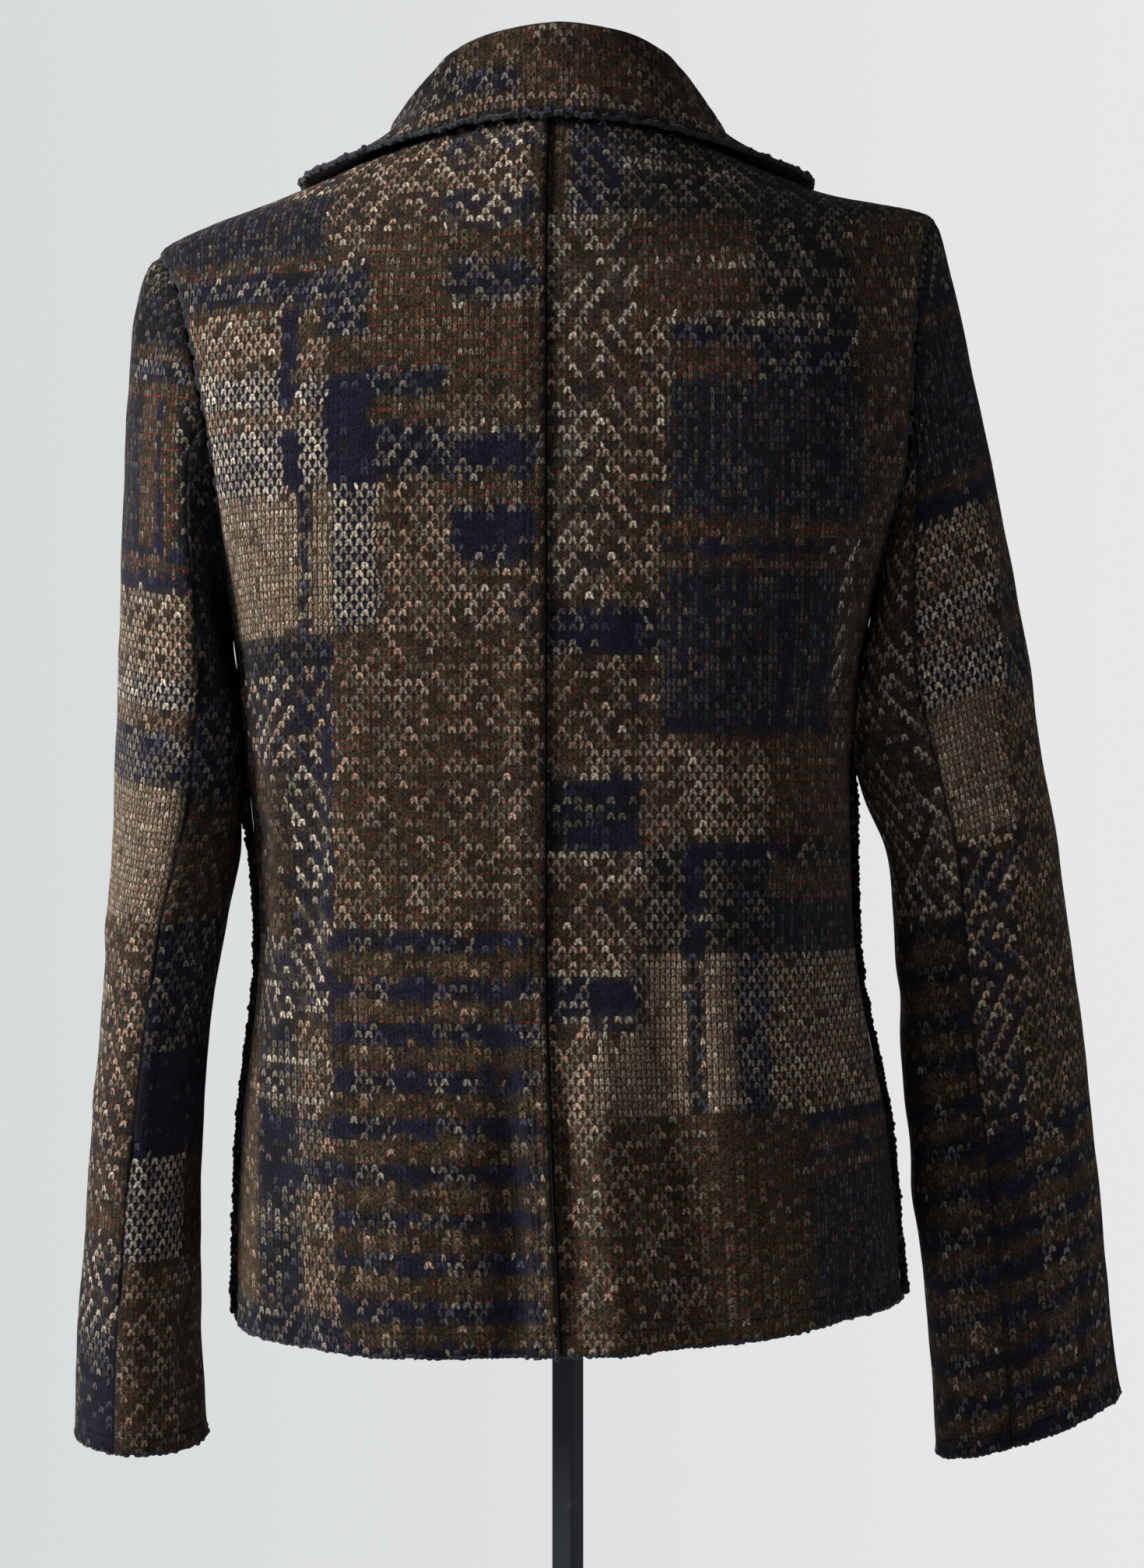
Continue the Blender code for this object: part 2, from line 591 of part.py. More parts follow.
def sleeve_grids(rows, side, cap_start):
    """Returns the outer and inner grids of a whole sleeve, cuff last, columns from the shoulder tip."""
    sizes = table(SLEEVE_COLUMNS, rows)
    order = np.argsort(sizes["z"])

    def ring_at(z):
        values = {name: smooth(sizes["z"][order], sizes[name][order], z) for name in SLEEVE_COLUMNS[1:]}
        return sleeve_ring({"z": z, **values}, side)

    armhole = armhole_loop(side)
    top, below = ring_at(sizes["z"][0]), ring_at(sizes["z"][0] - CAP_DROP)
    hang = (below - top) / np.linalg.norm(below - top, axis=1, keepdims=True)
    outward = np.array((side, 0.0, 0.0))
    centre = armhole.mean(axis=0)
    spoke = (armhole - centre) / np.linalg.norm(armhole - centre, axis=1, keepdims=True)
    armhole = armhole - GAP * spoke
    start = outward + CAP_SPREAD * spoke * np.array((0.0, 1.0, 1.0)) + CAP_SPREAD * hang
    start /= np.linalg.norm(start, axis=1, keepdims=True)
    reach = np.linalg.norm(top - armhole, axis=1, keepdims=True)
    first = start * np.minimum(cap_start, CAP_LIMITS[0] * reach)
    last = hang * np.minimum(CAP_END, CAP_LIMITS[1] * reach)
    grid = []
    for i in range(CAP_ROWS):
        t = i / CAP_ROWS
        ends = armhole * (1 + 2 * t) * (1 - t) ** 2 + top * t * t * (3 - 2 * t)
        grid.append(ends + first * t * (1 - t) ** 2 - last * t * t * (1 - t))
    low, high = sizes["z"][-1], sizes["z"][0]
    for i in range(SLEEVE_ROWS + 1):
        grid.append(ring_at(high + (low - high) * i / SLEEVE_ROWS))
    outer = np.array(grid)
    return outer, outer + side * CLOTH * grid_normals(outer, closed=True)


def sleeve_pieces(label, rows, side, collection, materials):
    """Makes the top sleeve and the under sleeve, split at the back and front seams."""
    outer, inner = sleeve_grids(rows, side, CAP_START[label])
    over = [k % SLEEVE_COUNT for k in range(FRONT_SEAM, BACK_SEAM + SLEEVE_COUNT + 1)]
    under = list(range(BACK_SEAM, FRONT_SEAM + 1))
    sides = ("first_column", "last_column")
    for piece, columns in (("top_sleeve", over), ("under_sleeve", under)):
        faces = [trimmed(grid[:, columns], sides) for grid in (outer, inner)]
        wall(f"{piece}_{label}", *faces, collection, materials[piece])


def seam_fin(name, side, collection, material):
    """Makes the side seam's allowances, which stand out of the seam as a raw-edged fin."""
    outer, inner = [], []
    for level in body_levels()[:FIN_ROWS]:
        point = ring_point(side * 90.0, level)
        normal = ring_normal(side * 90.0, level)
        forward = np.array((0.0, -1.0, 0.0)) * side
        steps = [point + normal * (GAP + FIN_REACH * j / 2) for j in range(3)]
        outer.append([step + forward * FIN_HALF for step in steps])
        inner.append([step - forward * FIN_HALF for step in steps])
    return wall(name, np.array(outer), np.array(inner), collection, material)


def button(name, level, collection, material):
    """Makes a flat round button, lying on the right front at the centre front."""
    angle = angle_at(0.0, level, front=True)
    normal = ring_normal(angle, level)
    place = ring_point(angle, level) + normal * (LAYER + 2 * GAP + BUTTON_HEIGHT / 2)
    bpy.ops.mesh.primitive_cylinder_add(
        vertices=BUTTON_SIDES, radius=BUTTON_RADIUS, depth=BUTTON_HEIGHT, location=place
    )
    thing = adopt(bpy.context.active_object, name, collection, material)
    thing.rotation_euler = (math.atan2(-normal[1], normal[2]), 0.0, 0.0)
    edge = thing.modifiers.new("edge", "BEVEL")
    edge.width = BUTTON_BEVEL
    edge.segments = 2
    edge.limit_method = "ANGLE"
    return thing


def dress_form(name, collection, material):
    """Makes the form's torso and neck: a smooth solid just inside the cloth, cut flat at the bottom."""
    rings = []
    first, last = FORM_TABLE["level"][0], FORM_TABLE["level"][-1]
    for i in range(FORM_ROWS + 1):
        level = first + (last - first) * i / FORM_ROWS
        clearance = smooth(FORM_TABLE["level"], FORM_TABLE["clearance"], level)
        at_side = smooth(FORM_TABLE["level"], FORM_TABLE["side_clearance"], level)
        points = []
        for j in range(FORM_COUNT):
            angle = 360.0 * j / FORM_COUNT
            depth = CLOTH + clearance + at_side * math.sin(math.radians(angle)) ** 4
            point = ring_point(angle, level, folded=False) - depth * ring_normal(angle, level, folded=False)
            points.append(point)
        rings.append(points)
    flat = [(FORM_TUCK * x, FORM_TUCK * y, FORM_BOTTOM) for x, y, _ in rings[0]]
    shoulder = np.array(rings[-1])
    turns = np.radians(360.0 * np.arange(FORM_COUNT) / FORM_COUNT)
    neck_x = NECK_CENTRE[0] + NECK_HALF_WIDTH * np.sin(turns)
    neck_y = NECK_CENTRE[1] + NECK_HALF_DEPTH * np.cos(turns)
    neck = np.column_stack((neck_x, neck_y, np.full(FORM_COUNT, NECK_TOP)))
    for i in range(1, NECK_RISE_ROWS + 1):
        t = i / NECK_RISE_ROWS
        inwards = math.sin(t * math.pi / 2) ** NECK_FULLNESS
        rise = 1 - math.cos(t * math.pi / 2) if i < NECK_RISE_ROWS else 1.0
        points = shoulder + (neck - shoulder) * np.array((inwards, inwards, rise))
        rings.append(points)
    return solid_of_rings(name, [flat] + rings, collection, material)


def turned(name, profile, centre, collection, material):
    """Turns a profile of (radius, height) points, from the top down its outer side, about Z."""
    mesh = bpy.data.meshes.new(name)
    points = [(radius, 0.0, height) for radius, height in profile]
    mesh.from_pydata(points, [(i, i + 1) for i in range(len(points) - 1)], [])
    thing = add_object(name, mesh, collection, material)
    thing.location = centre
    screw = thing.modifiers.new("turn", "SCREW")
    screw.steps = TURN_STEPS
    screw.render_steps = TURN_STEPS
    screw.use_merge_vertices = True
    screw.merge_threshold = 0.00005
    screw.use_smooth_shade = False
    return thing


def neck_cap(name, collection, material):
    """Makes the round cap on the form's neck."""
    profile = (
        (0.0, CAP_HEIGHT),
        (CAP_RADIUS - CAP_BEVEL, CAP_HEIGHT),
        (CAP_RADIUS, CAP_HEIGHT - CAP_BEVEL),
        (CAP_RADIUS, 0.0),
        (0.0, 0.0),
    )
    return turned(name, profile, (*NECK_CENTRE, NECK_TOP + GAP), collection, material)


def stand(collection, paint):
    """Makes the round base with its boss, the square pole and the socket under the form."""
    base_profile = (
        (0.0, BOSS_HEIGHT + BASE_HEIGHT),
        (BOSS_RADIUS - BASE_BEVEL, BOSS_HEIGHT + BASE_HEIGHT),
        (BOSS_RADIUS, BOSS_HEIGHT + BASE_HEIGHT - BASE_BEVEL),
        (BOSS_RADIUS, BASE_HEIGHT),
        (BASE_RADIUS - BASE_BEVEL, BASE_HEIGHT),
        (BASE_RADIUS, BASE_HEIGHT - BASE_BEVEL),
        (BASE_RADIUS, 0.0),
        (0.0, 0.0),
    )
    turned("stand_base", base_profile, (0.0, 0.0, 0.0), collection, paint["base"])
    foot = BASE_HEIGHT + BOSS_HEIGHT + GAP
    head = FORM_BOTTOM - 2 * GAP - SOCKET_HEIGHT
    bpy.ops.mesh.primitive_cube_add(size=1.0, location=(0.0, 0.0, (foot + head) / 2))
    pole = adopt(bpy.context.active_object, "stand_pole", collection, paint["pole"])
    pole.scale = (POLE_SIDE, POLE_SIDE, head - foot)
    bpy.ops.object.transform_apply(location=False, rotation=False, scale=True)
    pole.rotation_euler = (0.0, 0.0, math.radians(POLE_TURN))
    corner = pole.modifiers.new("corner", "BEVEL")
    corner.width = POLE_BEVEL
    corner.segments = 2
    socket_low = head + GAP
    socket_profile = (
        (0.0, SOCKET_HEIGHT),
        (SOCKET_RADIUS, SOCKET_HEIGHT),
        (SOCKET_RADIUS, BASE_BEVEL),
        (SOCKET_RADIUS - BASE_BEVEL, 0.0),
        (0.0, 0.0),
    )
    turned("pole_socket", socket_profile, (0.0, 0.0, socket_low), collection, paint["socket"])


def build():
    """Builds every piece of the coat, the form and the stand."""
    clear_scene()
    collection = bpy.data.collections.new(OBJECT_NAME)
    bpy.context.scene.collection.children.link(collection)
    for name, side in (("back_right", -1), ("back_left", 1)):
        back_panel(name, side, collection, cloth_finish(name))
    for name, side in (("front_left", 1), ("front_right", -1)):
        front_panel(name, side, collection, cloth_finish(name))
    for name, side in (("lapel_left", 1), ("lapel_right", -1)):
        lapel(name, side, collection, cloth_finish(name))
    collar("collar", collection, cloth_finish("collar"))
    for label, rows, side in (("left", LEFT_SLEEVE, 1), ("right", RIGHT_SLEEVE, -1)):
        pieces = ("top_sleeve", "under_sleeve")
        cloths = {piece: cloth_finish(f"{piece}_{label}") for piece in pieces}
        sleeve_pieces(label, rows, side, collection, cloths)
    for name, side in (("side_seam_left", 1), ("side_seam_right", -1)):
        seam_fin(name, side, collection, finish(f"{name}_cloth", KNIT_REVERSE, KNIT_ROUGHNESS))
    for number, level in enumerate(BUTTON_LEVELS, start=1):
        name = f"button_{number}"
        button(name, level, collection, finish(f"{name}_horn", HORN, PAINT_ROUGHNESS))
    dress_form("form_torso", collection, finish("form_jersey", JERSEY, KNIT_ROUGHNESS))
    neck_cap("neck_cap", collection, finish("neck_cap_paint", BLACK_PAINT, PAINT_ROUGHNESS))
    parts = ("base", "pole", "socket")
    paint = {part: finish(f"stand_{part}_paint", BLACK_PAINT, PAINT_ROUGHNESS) for part in parts}
    stand(collection, paint)


build()
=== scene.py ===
"""Looks of a short coat of felted patchwork knit, buttoned on a limbless dress form with a pole and base.

The wearer's back faces +Y, the wearer's left is +X, and the floor is Z = 0 under the pole's axis.  All
sizes are in metres unless a name or comment says otherwise.  Every piece of cloth is cut from a grid of
knit cells in its own flat cloth space, laid on the form that its CAD solid holds, then creased.
"""

import logging
import math
from collections.abc import Callable, Sequence
from dataclasses import dataclass, field
from enum import Enum

import bmesh
import bpy
import numpy as np
from mathutils import Matrix, Vector


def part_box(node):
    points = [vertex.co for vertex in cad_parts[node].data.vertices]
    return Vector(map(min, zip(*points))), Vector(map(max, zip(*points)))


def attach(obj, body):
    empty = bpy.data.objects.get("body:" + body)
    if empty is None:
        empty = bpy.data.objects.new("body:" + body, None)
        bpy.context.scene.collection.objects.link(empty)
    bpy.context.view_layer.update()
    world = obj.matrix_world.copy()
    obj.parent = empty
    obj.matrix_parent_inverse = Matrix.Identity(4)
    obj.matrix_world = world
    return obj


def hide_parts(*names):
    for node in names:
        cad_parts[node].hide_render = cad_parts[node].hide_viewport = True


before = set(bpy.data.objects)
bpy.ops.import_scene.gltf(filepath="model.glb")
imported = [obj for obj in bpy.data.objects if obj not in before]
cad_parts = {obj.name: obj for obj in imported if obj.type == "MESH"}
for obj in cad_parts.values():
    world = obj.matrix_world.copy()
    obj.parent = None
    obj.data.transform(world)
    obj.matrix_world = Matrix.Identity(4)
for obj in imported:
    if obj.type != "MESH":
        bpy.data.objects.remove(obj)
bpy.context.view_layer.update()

LOG = logging.getLogger("short_coat")
ROOT = "root"
X_AXIS, Y_AXIS, Z_AXIS = np.eye(3)
Array = np.ndarray
Tone = tuple[int, int, int]  # red, green and blue from 0 to 255
Two = tuple[float, float]
Three = tuple[float, float, float]
Range = tuple[float, float, int]  # first, last and number of places
Pair = tuple[Array, Array]
Socket, Material, Mesh, Thing = bpy.types.NodeSocket, bpy.types.Material, bpy.types.Mesh, bpy.types.Object
Build = bmesh.types.BMesh

# Cloth
CLOTH = 0.0025  # thickness of the felted knit
LAYER = 0.0028  # how far a layer on top of another lies out
CELL_WIDTH = 0.00275  # one raised mark of the knit
CELL_HEIGHT = 0.00395
FELTED = 0.8  # share of a cell's ground colour that runs into its neighbours
SEAM_LAP = 0.009
FRONT_LAP = 0.020

TINY = 1e-9
FAR = 1.0  # distance given to a seam that the piece hasn't

# Rings of the coat's body: level from the hem to the neck seam, then these columns
RING_COLUMNS = (
    "back_z", "left_z", "right_z", "front_z", "left_x", "right_x",
    "seam_x", "back_y", "front_y", "side_y", "sway", "square",
)
RINGS = (
    (0, 0.8005, 0.807, 0.817, 0.802, 0.174, -0.1755, 0.0037, 0.122, 0.134, 0, -0.008, 0.03),
    (0.16, 0.895, 0.899, 0.904, 0.895, 0.1715, -0.1675, 0.008, 0.121, 0.134, 0, -0.003, 0.04),
    (0.34, 1.005, 1.005, 1.005, 1.005, 0.1615, -0.1505, 0.0111, 0.106, 0.124, 0, 0, 0.05),
    (0.47, 1.085, 1.085, 1.085, 1.085, 0.1675, -0.148, 0.0111, 0.109, 0.129, 0, 0, 0.06),
    (0.6, 1.178, 1.172, 1.18, 1.17, 0.1765, -0.16, 0.0111, 0.116, 0.135, 0, 0, 0.07),
    (0.74, 1.264, 1.262, 1.264, 1.25, 0.197, -0.188, 0.0111, 0.117, 0.126, 0, 0, 0.05),
    (0.84, 1.328, 1.325, 1.333, 1.305, 0.212, -0.195, 0.0111, 0.109, 0.103, -0.002, 0, 0),
    (0.9, 1.364, 1.363, 1.383, 1.333, 0.215, -0.1925, 0.0111, 0.099, 0.086, -0.004, 0, -0.06),
    (0.95, 1.402, 1.3915, 1.3935, 1.352, 0.153, -0.1415, 0.0105, 0.084, 0.074, -0.002, 0, -0.04),
    (1, 1.436, 1.419, 1.416, 1.37, 0.0828, -0.0735, 0.009, 0.064, 0.06, 0.003, 0, 0),
)
CHEST_LEVEL = 0.6
TIP_LEVEL = 0.9
BREAK_LEVEL = 0.665
LAP_TOP_LEVEL = 0.69
LEVEL_STEP = 0.004
ANGLE_STEP = 0.8

# Soft standing folds: angle from the centre back at the hem and at its end, the level of its end,
# how far it stands out (in, below zero) at the hem, and its half width in degrees
FOLDS = (
    (12, 10, 0.33, -0.0065, 6.5),
    (-7, -6, 0.36, 0.006, 6),
    (-20, -17, 0.34, -0.0045, 5.5),
    (-31, -28, 0.4, 0.004, 6),
    (28, 30, 0.3, 0.005, 8),
    (50, 58, 0.42, -0.0045, 8),
    (-52, -60, 0.4, -0.004, 8),
    (128, 124, 0.34, -0.005, 9),
    (150, 146, 0.3, 0.0045, 8),
    (-126, -122, 0.36, -0.0045, 9),
    (-148, -144, 0.28, 0.004, 8),
)
FOLD_FADE = 1.4
ARMHOLE_BACK = 26.0
ARMHOLE_FRONT = 33.0
ARMHOLE_FULLNESS = 0.9
ROLL = ((0.64, 179), (0.74, 171.5), (0.84, 165), (0.9, 159), (0.95, 147), (1, 118))
LAPEL = (
    (0.712, 3.5), (0.74, 9.5), (0.8, 18.5), (0.85, 26), (0.88, 31.5),
    (0.9, 27.5), (0.935, 19.5), (0.96, 12), (0.975, 4),
)

# Collar, by the angle from the centre back: height of its fold over the neck seam, how far the fold
# leans out, and the level on the body at which its outer edge lies
COLLAR = (
    (0, 0.0385, 0.008, 0.98),
    (20, 0.0375, 0.008, 0.9795),
    (35, 0.0345, 0.0085, 0.9775),
    (55, 0.023, 0.0078, 0.973),
    (75, 0.0155, 0.0075, 0.966),
    (90, 0.014, 0.0075, 0.962),
    (110, 0.011, 0.006, 0.956),
    (128, 0.01, 0.004, 0.948),
)

# Sleeves: centre height, centre, half width across and half depth of each ring, how far the ring is
# turned towards the body and twisted round it, and how much its outer side and its back stand higher
SLEEVE_COLUMNS = ("x", "y", "half_width", "half_depth", "turn", "twist", "outer_rise", "back_rise")
LEFT_SLEEVE = (
    (1.13, 0.204, 0.012, 0.0308, 0.06, 13, 4, 0.012, 0),
    (1.09, 0.204, 0.011, 0.033, 0.059, 10, 3, 0.006, 0),
    (1.056, 0.205, 0.008, 0.0337, 0.0575, 5, 3, 0.002, 0),
    (1.006, 0.2111, 0.005, 0.0305, 0.0575, 0, 2, 0, 0),
    (0.965, 0.216, 0.003, 0.0285, 0.0575, 0, 0, 0, 0),
    (0.924, 0.2195, 0, 0.0287, 0.0565, 0, -3, 0, 0),
    (0.883, 0.2229, -0.004, 0.0296, 0.0555, 0, -7, 0, -0.001),
    (0.841, 0.2245, -0.009, 0.0306, 0.054, 0, -11, 0, -0.002),
    (0.79, 0.2265, -0.016, 0.0322, 0.052, 0, -15, 0, -0.004),
    (0.743, 0.2262, -0.021, 0.0345, 0.05, 0, -17, 0.001, -0.006),
)
RIGHT_SLEEVE = (
    (1.13, 0.197, 0.015, 0.045, 0.056, 16, 2, 0.012, 0),
    (1.088, 0.204, 0.011, 0.0448, 0.053, 9, 6, 0.008, 0),
    (1.056, 0.2116, 0.008, 0.044, 0.051, 4, 12, 0.006, 0),
    (1.006, 0.2171, 0.005, 0.0452, 0.048, 0, 16, 0.006, 0),
    (0.965, 0.2213, 0.003, 0.047, 0.0455, 0, 16, 0.007, 0),
    (0.924, 0.2257, 0, 0.0479, 0.0435, 0, 15, 0.008, 0),
    (0.882, 0.2303, -0.004, 0.0479, 0.042, 0, 14, 0.01, -0.001),
    (0.841, 0.2349, -0.009, 0.0475, 0.041, 0, 14, 0.011, -0.002),
    (0.795, 0.2395, -0.015, 0.0476, 0.0395, 0, 14, 0.013, -0.004),
    (0.748, 0.2443, -0.021, 0.0484, 0.038, 0, 14, 0.0165, -0.005),
)
CAP_START = {"left": 0.07, "right": 0.024}
CAP_END = 0.11
CAP_SPREAD = 0.35
CAP_LIMITS = (0.8, 0.9)
CAP_DROP = 0.01
SLEEVE_GAP = 0.0003
WELT_LEAN = 0.05
WELT_DEPTH = 0.0022

# Dress form: how far it lies inside the coat's reverse by level, and more than that at its sides
FORM = (
    (0.08, 0.02, 0), (0.2, 0.016, 0), (0.34, 0.011, 0), (0.47, 0.008, 0),
    (0.6, 0.006, 0.002), (0.7, 0.0045, 0.012), (0.8, 0.003, 0.013), (0.86, 0.0024, 0.007),
    (0.9, 0.002, 0.002), (0.93, 0.0018, 0), (0.96, 0.0018, 0), (0.985, 0.0026, 0),
)
BACK_SEAM = 6 / 24  # share of the way round from the sleeve's outer line
FRONT_SEAM = 17 / 24


# ---- curves and surfaces


class Profile:
    """A curve through points that never swings past them, worked out for whole arrays."""

    def __init__(self, xs: Sequence[float], ys: Sequence[float]) -> None:
        """Fits the curve to values at rising places."""
        self.xs, self.ys = np.array(xs, float), np.array(ys, float)
        self.steps = np.diff(self.xs)
        slopes = np.diff(self.ys) / self.steps
        self.tangents = np.append(slopes[:1], slopes)
        for i, (slope, after) in enumerate(zip(slopes, slopes[1:]), 1):
            before, step = self.steps[i - 1], self.steps[i]
            first, last = 2 * step + before, step + 2 * before
            level = slope * after <= 0
            self.tangents[i] = 0.0 if level else (first + last) / (first / slope + last / after)

    def __call__(self, x: Array | float) -> Array:
        """Returns the curve's value at each x, held at its ends."""
        i = np.clip(np.searchsorted(self.xs, x) - 1, 0, len(self.xs) - 2)
        t = np.clip((x - self.xs[i]) / self.steps[i], 0.0, 1.0)
        rise = self.ys[i] * (1 + 2 * t) * (1 - t) ** 2 + self.ys[i + 1] * t * t * (3 - 2 * t)
        swing = self.tangents[i] * t * (1 - t) ** 2 - self.tangents[i + 1] * t * t * (1 - t)
        return rise + self.steps[i] * swing


def ramp(x: Array | float) -> Array:
    """Returns a soft step from 0 at x = 0 to 1 at x = 1."""
    x = np.clip(x, 0.0, 1.0)
    return x * x * (3 - 2 * x)


def unit(vectors: Array) -> Array:
    """Returns the vectors at length one."""
    return vectors / np.maximum(np.linalg.norm(vectors, axis=-1, keepdims=True), 1e-12)


def beyond(across: Array, first: Array | float, last: Array | float) -> Array:
    """Returns which places across lie outside a piece's edges, as columns x rows."""
    return (across[:, None] > last + TINY) | (across[:, None] < first - TINY)


def run_of(points: Array, axis: int = 0) -> Array:
    """Returns the length run along lines of points, from zero at their first point.

    Args:
        points: The points, with their three coordinates last.
        axis: Axis along which each line runs.
    """
    steps = np.linalg.norm(np.diff(points, axis=axis), axis=-1)
    first = np.zeros_like(np.take(steps, [0], axis=axis))
    return np.concatenate([first, np.cumsum(steps, axis=axis)], axis=axis)


def points_at(points: Array, run: Array, at: Array) -> Array:
    """Returns the points of a line at other lengths run along it."""
    return np.stack([np.interp(at, run, points[:, axis]) for axis in range(3)], axis=-1)


def read_table(rows: Sequence[Sequence[float]], names: Sequence[str]) -> dict[str, Profile]:
    """Returns a curve for each column of a table after its first, which rises."""
    first, *columns = (np.array(column, float) for column in zip(*rows))
    return {name: Profile(first, column) for name, column in zip(names, columns)}


class BodyForm:
    """The outer face of the coat's body, by angle from the centre back to the left and by level."""

    def __init__(self) -> None:
        """Reads the rings and folds."""
        self.size = read_table(RINGS, RING_COLUMNS)
        self.roll = Profile(*zip(*ROLL))
        self.lapel_width = Profile(*zip(*LAPEL))

    def folds(self, angle: Array, level: Array) -> Array:
        """Returns how far the standing folds move the cloth out."""
        height = np.zeros(np.broadcast(angle, level).shape)
        for hem_angle, top_angle, top_level, depth, width in FOLDS:
            along = np.minimum(level / top_level, 1.0)
            centre = hem_angle + (top_angle - hem_angle) * along
            away = ((angle - centre + 180.0) % 360.0 - 180.0) / width
            height = height + depth * np.exp(-away * away) * ramp(FOLD_FADE * (1 - along))
        return height

    def point(self, angle: Array, level: Array, folded: bool = True) -> Array:
        """Returns points of the surface, at levels from 0 at the hem to 1 at the neck.

        Args:
            angle: Degrees from the centre back to the wearer's left.
            level: The levels.
            folded: Whether the standing folds are in it.
        """
        angle, level = np.broadcast_arrays(np.asarray(angle, float), np.asarray(level, float))
        turn = np.radians(angle)
        side, back = np.sin(turn), np.cos(turn)
        size = {name: profile(level) for name, profile in self.size.items()}
        square = size["square"]
        middle, half = (size["left_x"] + size["right_x"]) / 2, (size["left_x"] - size["right_x"]) / 2
        stretch = 1 + self.folds(angle, level) / half if folded else 1.0
        x = middle + stretch * half * (side + square * np.sin(3 * turn)) / (1 - square)
        depth = np.where(back > 0, size["back_y"], size["front_y"])
        reach = depth * (back - square * np.cos(3 * turn)) / (1 - square)
        y = size["side_y"] + stretch * (reach - size["side_y"] * np.abs(back))
        side_z = (size["left_z"] + size["right_z"]) / 2 + (size["left_z"] - size["right_z"]) / 2 * side
        end_z = np.where(back > 0, size["back_z"], size["front_z"])
        sway = size["sway"] * side * np.maximum(back, 0.0)
        return np.stack([x, y, side_z + (end_z - side_z) * back * back + sway], axis=-1)

    def normal(self, angle: Array, level: Array, folded: bool = True) -> Array:
        """Returns the outward directions of the surface; the arguments are those of point."""
        low, high = np.maximum(level - LEVEL_STEP, 0.0), np.minimum(level + LEVEL_STEP, 1.0)
        up = self.point(angle, high, folded) - self.point(angle, low, folded)
        ahead = self.point(angle + ANGLE_STEP, level, folded)
        around = ahead - self.point(angle - ANGLE_STEP, level, folded)
        return unit(np.cross(up, around))

    def angle_at(self, x: Array | float, level: Array, front: bool = False) -> Array:
        """Returns the angles at which the back, or the front, of each level stands at x."""
        low = np.full(np.shape(level), 90.0 if front else -90.0)
        high = low + 180.0
        for _ in range(40):
            middle = (low + high) / 2
            past = self.point(middle, level, folded=False)[..., 0] > x
            upper = past != front
            low, high = np.where(upper, low, middle), np.where(upper, middle, high)
        return (low + high) / 2

    def edge_angle(self, level: Array, widest: float) -> Array:
        """Returns the angle of a panel's outer edge: side seam, armhole or shoulder seam."""
        share = np.clip((level - CHEST_LEVEL) / (TIP_LEVEL - CHEST_LEVEL), 0.0, 1.0)
        along = np.arccos(1 - 2 * share)
        return 90.0 - widest * np.abs(np.sin(along)) ** ARMHOLE_FULLNESS


@dataclass
class Laid:
    """Where the knots of a grid of cloth lie.

    Each array has one value for each knot: its place and outward direction, its place in cloth space,
    whether it lies outside the cut, and its distance to the nearest sewn seam and raw edge.
    """

    place: Array
    out: Array
    across: Array
    along: Array
    cut_off: Array
    seam: Array
    raw: Array


class Meridians:
    """A surface of lines that start at one raw edge, such as a sleeve's cuff, and run up the cloth."""

    def __init__(self, lines: Array, normals: Array, closed: bool, steps: int = 420) -> None:
        """Resamples the lines by their own length.

        Args:
            lines: Points, one line after another, each from the raw edge on.
            normals: Outward directions at those points.
            closed: Whether the last line is followed by the first.
            steps: Places along each line.
        """
        if closed:
            lines, normals = (np.concatenate([grid, grid[:1]]) for grid in (lines, normals))
        runs = run_of(lines, axis=1)
        self.closed, self.count, self.reach = closed, len(lines) - 1, runs[:, -1]
        self.heights = np.linspace(0.0, float(self.reach.max()), steps)
        self.points, self.normals = (
            np.stack([points_at(line, run, self.heights) for line, run in zip(grid, runs)])
            for grid in (lines, normals)
        )

    def line_at(self, share: Array) -> Array:
        """Returns the lines' numbers, with fractions, at places across them."""
        return (share % 1.0 if self.closed else np.clip(share, 0.0, 1.0)) * self.count

    def sample(self, values: Array, share: Array, along: Array) -> Array:
        """Returns values on the surface.

        Args:
            values: The points or normals, line by line.
            share: Place across the lines, from 0 to 1, and past either end on a closed surface.
            along: Length from the raw edge.
        """
        line = self.line_at(share)
        k = np.clip(line.astype(int), 0, self.count - 1)
        past = (line - k)[..., None]
        step = np.clip(along / self.heights[1], 0.0, len(self.heights) - 1.001)
        j = step.astype(int)
        above = (step - j)[..., None]
        low = values[k, j] * (1 - past) + values[k + 1, j] * past
        high = values[k, j + 1] * (1 - past) + values[k + 1, j + 1] * past
        return low * (1 - above) + high * above

    def reach_at(self, share: Array) -> Array:
        """Returns the length of the lines at places across them."""
        return np.interp(self.line_at(share), np.arange(self.count + 1), self.reach)


